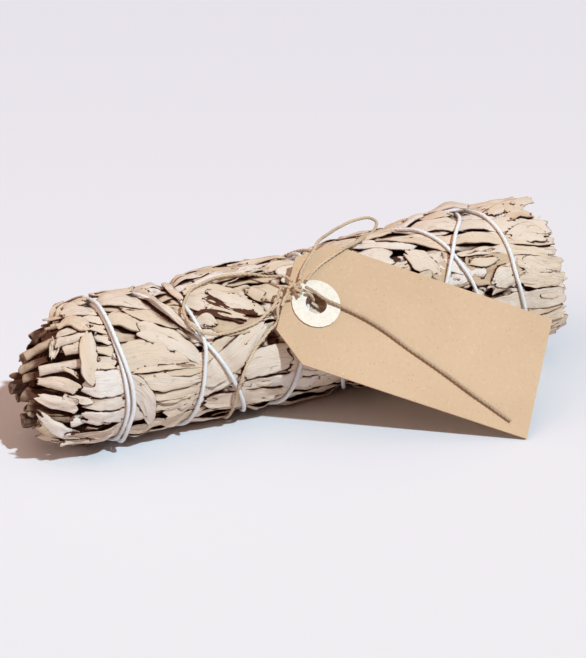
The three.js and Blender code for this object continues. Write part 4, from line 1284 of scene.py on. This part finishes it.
leafPieces = [
    leafPiece("sage_leaves_under", "filler", layerOf(lowerLeaves, 36, 10), 0.5, 0.5, 0.5, 0.5),
    leafPiece("sage_leaves_broad", "filler", layerOf(upperLeaves, 52, 14), 0.5, 0.6, 0.6, 0.7),
    leafPiece("sage_leaves_plates", "filler", scatteredPlates(), 0.5, 0.5, 0.5, 0.6),
    leafPiece("sage_leaves_near", "placed", [plateSheet(leaf, 42, 13) for leaf in frontPlates],
              0.62, 0.35, 0.35, 0.35),
]
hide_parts("sage_leaves")


# the middle of the bunch, which the blades stand out of
core = {
    "inset": 5.2, "left": -94, "leftRound": 15, "right": 86, "rows": 120, "columns": 96, "rough": 0.8,
    "bumpsAlong": 0.16, "bumpsRound": 9, "endTaper": 0.45, "endPower": 1.6,
    "tone": 0.1, "depth": 9,  # painted shade: its depth colours it fully dark, as it always lies in the shade between the blades
}


def corePiece():
    rows, columns = core["rows"], core["columns"]
    x = np.linspace(core["left"], core["right"], rows + 1)[:, None]
    turn = np.linspace(0, 360, columns, endpoint=False)[None, :]
    bumps = smoothNoise(x * core["bumpsAlong"] + np.sin(np.radians(turn * 3)), 1.7, 3)
    bumps = bumps + smoothNoise(np.radians(turn) * core["bumpsRound"] + x * 0.03, 4.4, 2)
    rounding = np.clip((core["left"] + core["leftRound"] - x) / core["leftRound"], 0, 1)
    size = (radiusAt(x) - core["inset"]) * (1 - core["endTaper"] * rounding ** core["endPower"])
    points = around(x, turn, size + core["rough"] * bumps)
    faces = ringFaces(rows, columns)
    faces.append(tuple(range(columns - 1, -1, -1)))
    faces.append(tuple(rows * columns + j for j in range(columns)))
    flat = points.reshape(-1, 3)
    zeros = np.zeros(len(flat))
    obj = meshObject("sage_leaves_core", flat, faces, {
        "leafAlong": flat[:, 0], "leafAcross": flat[:, 1], "leafSeed": zeros, "leafRim": zeros,
        "leafTone": zeros + core["tone"], "depth": zeros + core["depth"],
    })
    obj.data.materials.append(looks["leaf"])
    obj.data.shade_smooth()
    return finishPiece(obj, "dried_leaf")


corePiece()

# leaves rolled and folded lengthwise at both ends
endRolls = {
    "seed": 5, "rows": 22, "columns": 18,
    "rings": ((3.5, 3), (9, 6), (14, 9), (18, 11), (21, 13), (23.5, 16)),
    "length": (20, 34), "radius": (2.2, 5.2), "turns": (0.35, 1.25), "thickness": 0.5,
    "tighter": 0.42, "tighterTo": 1.3, "uneven": 0.09,  # a roll winds in on itself
    "ringTurn": 17, "stepSpread": 0.6, "outSpread": 1.6, "leftSpread": (7, 0.12), "rightSpread": 6,
    "rootSpread": 8, "rootRise": (2.5, 0.3), "rootMost": 22.5, "twist": 1.2, "squash": (0.4, 0.5),
    "near": (-44, 145), "openFrom": 16, "recess": 4,  # the near side's own rolls come in front of these
    "innerTo": 12, "innerPaintedShade": 1.5,  # painted shade: the middle of the stem end is coloured dark
}
hollowRolls = {  # they close the hollow behind those of the near side, coloured dark as painted shade
    "to": 19, "recess": 4.5, "mouthMost": 17.5, "rootMost": 19, "radiusMost": 3.4, "turns": (0.7, 1.25),
    "tone": 0.3,
}
innerRolls = {  # small ones between the stems, coloured dark as painted shade: (turn, distance out)
    "at": ((-84, 14), (-68, 15.5), (-51, 13.5), (-36, 15.5), (-20, 13.5), (-76, 9.5), (-50, 8.5),
           (-26, 9.5), (0, 10)),
    "mouth": (-96.4, 1.5), "root": -80, "rootTurn": 6, "rise": 4.5,
    "radius": (2.5, 0.35), "turns": (0.75, 0.15), "tone": 0.3, "deeper": 1.3,
}


def roll(mouth, root, radius, turns, **shape):
    usual = {"squash": 0.8, "flare": 0.15, "ragged": 1.2, "twist": 0.0, "bend": 0.0}
    return {"mouth": mouth, "root": root, "radius": radius, "turns": turns, **usual, **shape}


def rollSheet(leaf, rows=endRolls["rows"], columns=endRolls["columns"]):
    # a leaf rolled round the line from its mouth to its root: each end is (x, turn, distance from the axis)
    i = np.linspace(0, 1, rows + 1)[:, None]
    t = np.linspace(0, 1, columns + 1)[None, :]
    seed, radius, turns = leaf["seed"], leaf["radius"], leaf["turns"]
    mouth, root = around(*leaf["mouth"]), around(*leaf["root"])
    axis = root - mouth
    length = np.linalg.norm(axis)
    axis /= length
    middle = 0.5 * (mouth + root)
    outward = middle - np.array([middle[0], 0, axisHeight(middle[0])])
    outward -= axis * (outward @ axis)
    outward /= max(np.linalg.norm(outward), 1e-6)
    beside = np.cross(axis, outward)
    angle = leaf["spin"] + 2 * math.pi * turns * (t - 0.5) + leaf["twist"] * (i - 0.5)
    size = radius * (1 - endRolls["tighter"] * t * min(turns, endRolls["tighterTo"]))
    size = size * (1 + endRolls["uneven"] * smoothNoise(i * 5 + t * 2, seed))
    size = size * (1 + leaf["flare"] * np.clip(1 - i * 3, 0, 1))
    reach = i * length + leaf["ragged"] * smoothNoise(t * 5, seed + 3) * (1 - i) ** 3
    up = size * np.cos(angle) * leaf["squash"] + leaf["bend"] * 4 * i * (1 - i)
    side = size * np.sin(angle)
    points = mouth + reach[..., None] * axis + up[..., None] * outward + side[..., None] * beside
    values = sheetValues(leaf, i * length, (t - 0.5) * turns * 6.3 * radius, 2 * t - 1, i, points.shape[:2])
    values["leafRim"] = np.broadcast_to(np.maximum(np.abs(2 * t - 1), (1 - i) ** 8), points.shape[:2])
    return points, values


def endSheets(toLeft):
    draw = seeded(endRolls["seed"] + (0 if toLeft else 40))
    flattest, rounder = endRolls["squash"]
    sheets = []
    for ring, (ringRadius, count) in enumerate(endRolls["rings"]):
        for k in range(count):
            turn = ((k + endRolls["stepSpread"] * draw()) * 360) / count + endRolls["ringTurn"] * ring
            nearSide = toLeft and endRolls["near"][0] < halfTurn(turn) < endRolls["near"][1]
            radius = lerp(*endRolls["radius"], draw() ** 1.3)
            squash = flattest + rounder * draw()
            out = ringRadius + jitter(draw, endRolls["outSpread"])
            out = min(out, bunch["radius"] - 1.6 - radius * squash)
            if toLeft:
                share = (out + 0.6 * radius * squash) / bunch["radius"]
                tip = float(stemEndAt(turn, share)) + jitter(draw, *endRolls["leftSpread"])
            else:
                tip = float(rightEdge(turn)) + 0.5 - endRolls["rightSpread"] * draw() ** 1.5
            tip += endRolls["recess"] * nearSide
            length = lerp(*endRolls["length"], draw())
            far = tip + length if toLeft else tip - length
            # painted shade: rolls in the middle of the stem end get a lower tone and a painted shade depth
            deeper = endRolls["innerPaintedShade"] if toLeft and ringRadius < endRolls["innerTo"] else 0
            if nearSide and ringRadius > endRolls["openFrom"]:
                part = [draw() for _ in range(7)]
                if ringRadius > hollowRolls["to"]:
                    continue
                mouth = (tip + hollowRolls["recess"], turn, min(out, hollowRolls["mouthMost"]))
                root = (far, turn, min(out + 1, hollowRolls["rootMost"]))
                sheets.append(rollSheet(roll(
                    mouth, root, min(radius, hollowRolls["radiusMost"]), lerp(*hollowRolls["turns"], part[0]),
                    spin=2 * math.pi * part[1], twist=endRolls["twist"] * (part[2] - 0.5),
                    seed=240 + k * 1.9, tone=hollowRolls["tone"] * part[3], deeper=endRolls["innerPaintedShade"])))
                continue
            rootTurn = turn + jitter(draw, endRolls["rootSpread"])
            root = (far, rootTurn, min(out + jitter(draw, *endRolls["rootRise"]), endRolls["rootMost"]))
            sheets.append(rollSheet(roll(
                (tip, turn, out), root, radius, lerp(*endRolls["turns"], draw()), spin=2 * math.pi * draw(),
                squash=squash, twist=jitter(draw, endRolls["twist"]), seed=40 + k * 1.9 + ringRadius,
                tone=(0.2 + 0.75 * draw()) * (0.4 if deeper else 1), deeper=deeper)))
    if toLeft:
        firstX, stepX = innerRolls["mouth"]
        smallest, wider = innerRolls["radius"]
        fewest, more = innerRolls["turns"]
        for k, (turn, out) in enumerate(innerRolls["at"]):
            mouth = (firstX + stepX * (k % 3), turn, out)
            root = (innerRolls["root"], turn + innerRolls["rootTurn"], out + innerRolls["rise"])
            sheets.append(rollSheet(roll(
                mouth, root, smallest + wider * (k % 4), fewest + more * (k % 4), spin=1.7 * k, twist=0.4,
                seed=300 + k * 2.3, tone=innerRolls["tone"], deeper=innerRolls["deeper"])))
    return sheets


# rolls and troughs that stand out on the near side of the stem end; a low tone and a painted shade depth
# colour those lying in shade dark
stemEndRolls = [
    roll((-102.4, 4, 11.6), (-94, 17, 18.5), 2.5, 1.1, spin=3.4, tone=.3, deeper=1.5),
    roll((-104.4, 16, 8), (-97, 32, 15), 2.1, 1.1, spin=3, tone=.25, deeper=1.9),
    roll((-105, 40, 7), (-98.6, 54, 14), 1.8, .9, spin=.4, tone=.2, deeper=1.8),
    roll((-92.2, 21, 21.2), (-82.6, 25, 24.2), 2.7, 1, spin=.3, squash=.85, tone=.75, ragged=1.6,
         flare=-.12, bend=.5, twist=.5),
    roll((-94.4, 28.5, 20), (-83.8, 33, 24), 2.6, 1.1, spin=.9, squash=.85, tone=.8, ragged=1.4,
         flare=-.2, bend=.7, twist=-.5),
    roll((-93, 36.5, 20), (-84.6, 40, 23.6), 2.8, 1.05, spin=2.4, tone=.7, ragged=1.6,
         flare=-.1, bend=.4, twist=.6),
    roll((-101.8, 46, 14.4), (-87.6, 53, 22.8), 2.2, 1.25, spin=.4, squash=1, tone=.8, flare=.1, ragged=.4),
    roll((-94.5, 112, 20), (-84, 106, 22.4), 2.6, 1.3, spin=.4, squash=.95, tone=.95, ragged=.4),
    roll((-98, 131, 23.4), (-88, 129, 24.6), 1.5, 1.2, spin=.4, squash=.9, tone=.85, ragged=.4),
    roll((-106, 100, 5), (-94, 100, 12), 3.2, 1.1, spin=.9, squash=.9, tone=.15, deeper=2.2),
    roll((-96.5, 82, 18.6), (-89.5, 88, 22), 1.3, .8, spin=1, squash=.9, tone=.8, ragged=.3),
    roll((-98.2, 92, 16), (-93.6, 98, 19), 1.1, .9, spin=.6, squash=.9, tone=.6, deeper=.3, ragged=.3),
    roll((-103, 118, 14), (-90, 120, 18), 3.4, .9, spin=.6, tone=.2, deeper=2),
    roll((-104, 106, 17), (-93, 109, 19.6), 2.6, .9, spin=2, tone=.2, deeper=2.2),
    roll((-92.4, -14, 20.4), (-85, 4, 23.4), 1, .7, spin=.6, tone=.5, deeper=.3),
    roll((-94, -5, 19.2), (-88, 9, 21.6), .9, .6, spin=.6, tone=.4, deeper=.6),
    roll((-92, -30, 14.5), (-82, -26, 19), 4, .5, spin=.1, squash=.5, tone=.3, deeper=.8),
    roll((-95.5, 150, 21.5), (-80, 148, 22), 3.4, .9, spin=.4, squash=.35, tone=.75),
    roll((-101, 135, 14), (-84, 132, 20.5), 4.2, .8, spin=1.4, squash=.6, tone=.5),
    roll((-105.2, 120, 7.5), (-92, 120, 12), 3.1, 1.1, spin=1.4, squash=.9, tone=.15, deeper=2),
]
for k, leaf in enumerate(stemEndRolls):
    leaf.setdefault("seed", 80 + k * 3.1)

# flat blades between them; a low tone and a painted shade depth colour those lying in shade dark
stemEndPlates = [
    blade([(-87, 1, -2.8), (-92.5, 3, -7), (-98.5, 5, -12.8)], [2.6, 3.4, 3], tone=.1, deeper=1.8),
    blade([(-91.5, 9, -3.4), (-87.7, 15, -.6), (-84.1, 27, .3)], [2.2, 3, 2.2], roll=-8, tone=.5),
    blade([(-84.4, 29, .2), (-86.4, 42, .6), (-87, 54, .4), (-85.6, 65, .5), (-79, 73, .3)],
          [1.8, 3, 4, 4.4, 3.4], tone=.68),
    blade([(-102.9, 58, -12), (-98.2, 65, -6.8), (-92.4, 75, -3.3)], [2.2, 2.4, 2.6], roll=-14, tone=.7),
    blade([(-103.7, 82, -12.4), (-99.6, 87, -7.2), (-93.4, 90, -3.2)], [2, 2.6, 2.6], roll=-12, tone=.9),
    blade([(-105.3, 96, -6.2), (-100.6, 111, -4), (-90.9, 127, -1.2)], [1.6, 2.8, 2.2], tone=.98),
    blade([(-105.5, 108, -5.4), (-100.5, 121, -3.6), (-94, 130, -2)], [2, 3, 2], tone=.2, deeper=1.2),
    blade([(-82, -27, -.8), (-86.5, -22, -2.8), (-90, -15, -5.4)],
          [2.4, 2.8, 2.2], roll=10, tone=.5, deeper=.2),
    blade([(-83, -12, -.6), (-87, -8, -2.6), (-91, -4, -5.8)], [2.4, 3, 2], roll=14, tone=.6, deeper=.2),
    blade([(-100.5, 128, -2.6), (-94, 131, -.6), (-84, 128, .6), (-76, 122, .8)],
          [.8, 1.3, 1.2, .8], tone=.8),
    blade([(-96, 119, -2.4), (-88, 118, .2), (-76, 113, .7)], [.7, 1.1, .8], roll=-8, tone=.75),
    blade([(-94.7, 80, -4.7), (-91.4, 84, -2), (-88, 85, -.8)], [1, 1.4, 1.1], tone=.85),
    blade([(-95, 51, -5.6), (-92.7, 58, -3.8), (-91.3, 64, -3)], [.8, 1.1, .8], roll=20, tone=.7),
    blade([(-95, 19, -5), (-95.6, 28, -5), (-97.6, 39, -6.4)], [.8, .9, .7], roll=10, tone=.75),
    blade([(-104.5, 133, -6.4), (-99, 136, -5), (-90, 138, -2.4)], [2.6, 3.8, 3], tone=.3, deeper=.8),
]
for k, leaf in enumerate(stemEndPlates):
    leaf.update(seed=150 + k * 2.9, ragged=1.1, wave=0.9, blunt=0.75, curl=(0.4, -0.5, 0.2)[k % 3], bow=0.4)

stemEndSheets = [rollSheet(leaf, 24, 20) for leaf in stemEndRolls] + endSheets(True)
stemEndSheets += [plateSheet(leaf, 28, 12) for leaf in stemEndPlates]
for name, sheets in (("sage_leaves_stem_end", stemEndSheets), ("sage_leaves_tip_end", endSheets(False))):
    leafPieces.append(leafPiece(name, "rolled", sheets, endRolls["thickness"], 0.35, 0.35, 0.4))
shadeLeaves(leafPieces)
print("sage bunch: leaves ready")

stems = {
    "ends": [(-108.5, 2, 23.5, 2.3), (-107.5, -6.5, 14.8, 2.4), (-104.5, 8, 15.5, 1.9),  # x, y, z, radius
             (-103, -2.5, 33.5, 2.1), (-101.5, -12.5, 24.5, 2), (-100.5, 11, 28, 2.2), (-104, 1.5, 8.5, 1.8)],
    "length": 42, "slope": 0.0055, "taper": 0.03, "axisHeight": 25, "rows": 70, "columns": 26, "pith": 0.28,
    "ridges": (0.10, 0.06), "start": 0.96, "inwards": 0.94, "rim": 0.86, "dip": 0.12, "pithDip": -0.7,
}


def stemPiece(number, x, y, z, radius):
    rows, columns = stems["rows"], stems["columns"]
    part = np.linspace(0, 1, rows + 1)[:, None]
    turn = np.linspace(0, 2 * math.pi, columns, endpoint=False)[None, :]
    coarse, fine = stems["ridges"]
    ridges = coarse * smoothNoise(np.cos(turn) * 4 + part * 1.2, number * 2.1, 3)
    ridges = ridges + fine * smoothNoise(part * 30 + turn, number, 2)
    size = radius * (stems["start"] - stems["taper"] * part) * (1 + ridges)
    slant = 0.5 * radius * np.cos(turn + number) * 0.5 * (1 - part) ** 12
    along = part * stems["length"] - 0.4 * slant
    axisZ = z + (stems["axisHeight"] - z) * 0.03 - stems["slope"] * y * (along - stems["length"] / 2)
    across = y * stems["inwards"] + size * np.cos(turn)
    points = np.stack([x + 0.5 + along, across, axisZ + size * np.sin(turn)], axis=-1)
    faces = ringFaces(rows, columns, inwardFirst=True)
    flat = list(points.reshape(-1, 3))
    cut = [0.0] * len(flat)
    previous = list(range(columns))
    centre = points[0].mean(axis=0)
    cutMark, pithMark = woodColours["cutMark"], woodColours["pithMark"]
    for share, dip, mark in ((stems["rim"], stems["dip"], cutMark), (stems["pith"] + 0.15, 0.02, cutMark),
                             (stems["pith"], stems["pithDip"], pithMark)):
        start = len(flat)
        for j in range(columns):
            point = centre + (points[0][j] - centre) * share
            point[0] -= dip + stems["dip"] * math.sin(j * 2.3 + number)
            flat.append(point)
            cut.append(mark)
        for j in range(columns):
            k = (j + 1) % columns
            faces.append((start + j, previous[j], previous[k], start + k))
        previous = list(range(start, start + columns))
    faces.append(tuple(previous))
    faces.append(tuple(rows * columns + j for j in range(columns - 1, -1, -1)))
    obj = meshObject(f"stem_bark_{number}", np.array(flat), faces, {"cutFace": cut})
    obj.data.materials.append(looks["wood"])
    obj.data.shade_smooth()
    return finishPiece(obj, "woody_stem", f"woody_stem_{number}")


for number, (x, y, z, radius) in enumerate(stems["ends"], 1):
    stemPiece(number, x, y, z, radius)

# the card and its ring keep their solids
for node, look in (("paper_tag", "kraft"), ("tag_ring", "cream")):
    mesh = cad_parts[node].data
    mesh.materials.clear()
    mesh.materials.append(looks[look])
print("sage bunch: stems and card ready")

studio = {
    # painted light falloff: the floor is coloured darker towards the back
    "floorSize": 12, "floorNear": (0.765, 0.736, 0.754), "floorFar": (0.708, 0.676, 0.706),
    "floorAway": (0.443, 0.896, 0), "floorRange": (-0.15, 0.45, 0, 1),
    "keyTowards": (0.15, -0.60, 0.78), "keyStrength": 3.48, "keyColour": (0.70, 0.893, 1.0), "keyAngle": 2.0,
    "fillFront": (0.07, 0.022, 0.01), "fillBehind": (1.075, 0.785, 0.655),
    "fillTowards": (-0.52, 0.18, 0.835), "fillRange": (0.3, 1, 0, 1), "backdrop": (0.86, 0.84, 0.875),
}


def addStudio():
    half = studio["floorSize"] / 2 / metresPerMm
    corners = [(-half, -half, 0), (half, -half, 0), (half, half, 0), (-half, half, 0)]
    floor = meshObject("floor", corners, [(0, 1, 2, 3)])
    material, tree, shader = newMaterial("floorPaper", 0.9, 0.1)
    # painted light falloff: darker towards the back
    away = mapRange(vectorCalc("DOT_PRODUCT", objectPlace(tree), studio["floorAway"]), *studio["floorRange"])
    setSocket(shader.inputs["Base Color"], blendColour(away, studio["floorNear"], studio["floorFar"]))
    floor.data.materials.append(material)
    lamp = bpy.data.lights.new("key", "SUN")
    lamp.energy = studio["keyStrength"]
    lamp.color = studio["keyColour"]
    lamp.angle = math.radians(studio["keyAngle"])
    key = bpy.data.objects.new("key", lamp)
    key.rotation_euler = Vector(studio["keyTowards"]).to_track_quat("Z", "Y").to_euler()
    bpy.context.scene.collection.objects.link(key)
    world = bpy.data.worlds.new("studio")
    world.use_nodes = True
    bpy.context.scene.world = world
    nodes = world.node_tree
    background = nodes.nodes["Background"]
    seen = nodes.nodes.new("ShaderNodeLightPath").outputs["Is Camera Ray"]
    direction = nodes.nodes.new("ShaderNodeTexCoord").outputs["Generated"]
    share = mapRange(vectorCalc("DOT_PRODUCT", direction, studio["fillTowards"]), *studio["fillRange"])
    fill = blendColour(share, studio["fillFront"], studio["fillBehind"])
    setSocket(background.inputs["Color"], blendColour(seen, fill, studio["backdrop"]))
    background.inputs["Strength"].default_value = 1
    bpy.context.scene.view_settings.view_transform = "Standard"
    bpy.context.scene.view_settings.look = "None"


addStudio()
print("sage bunch: studio ready")
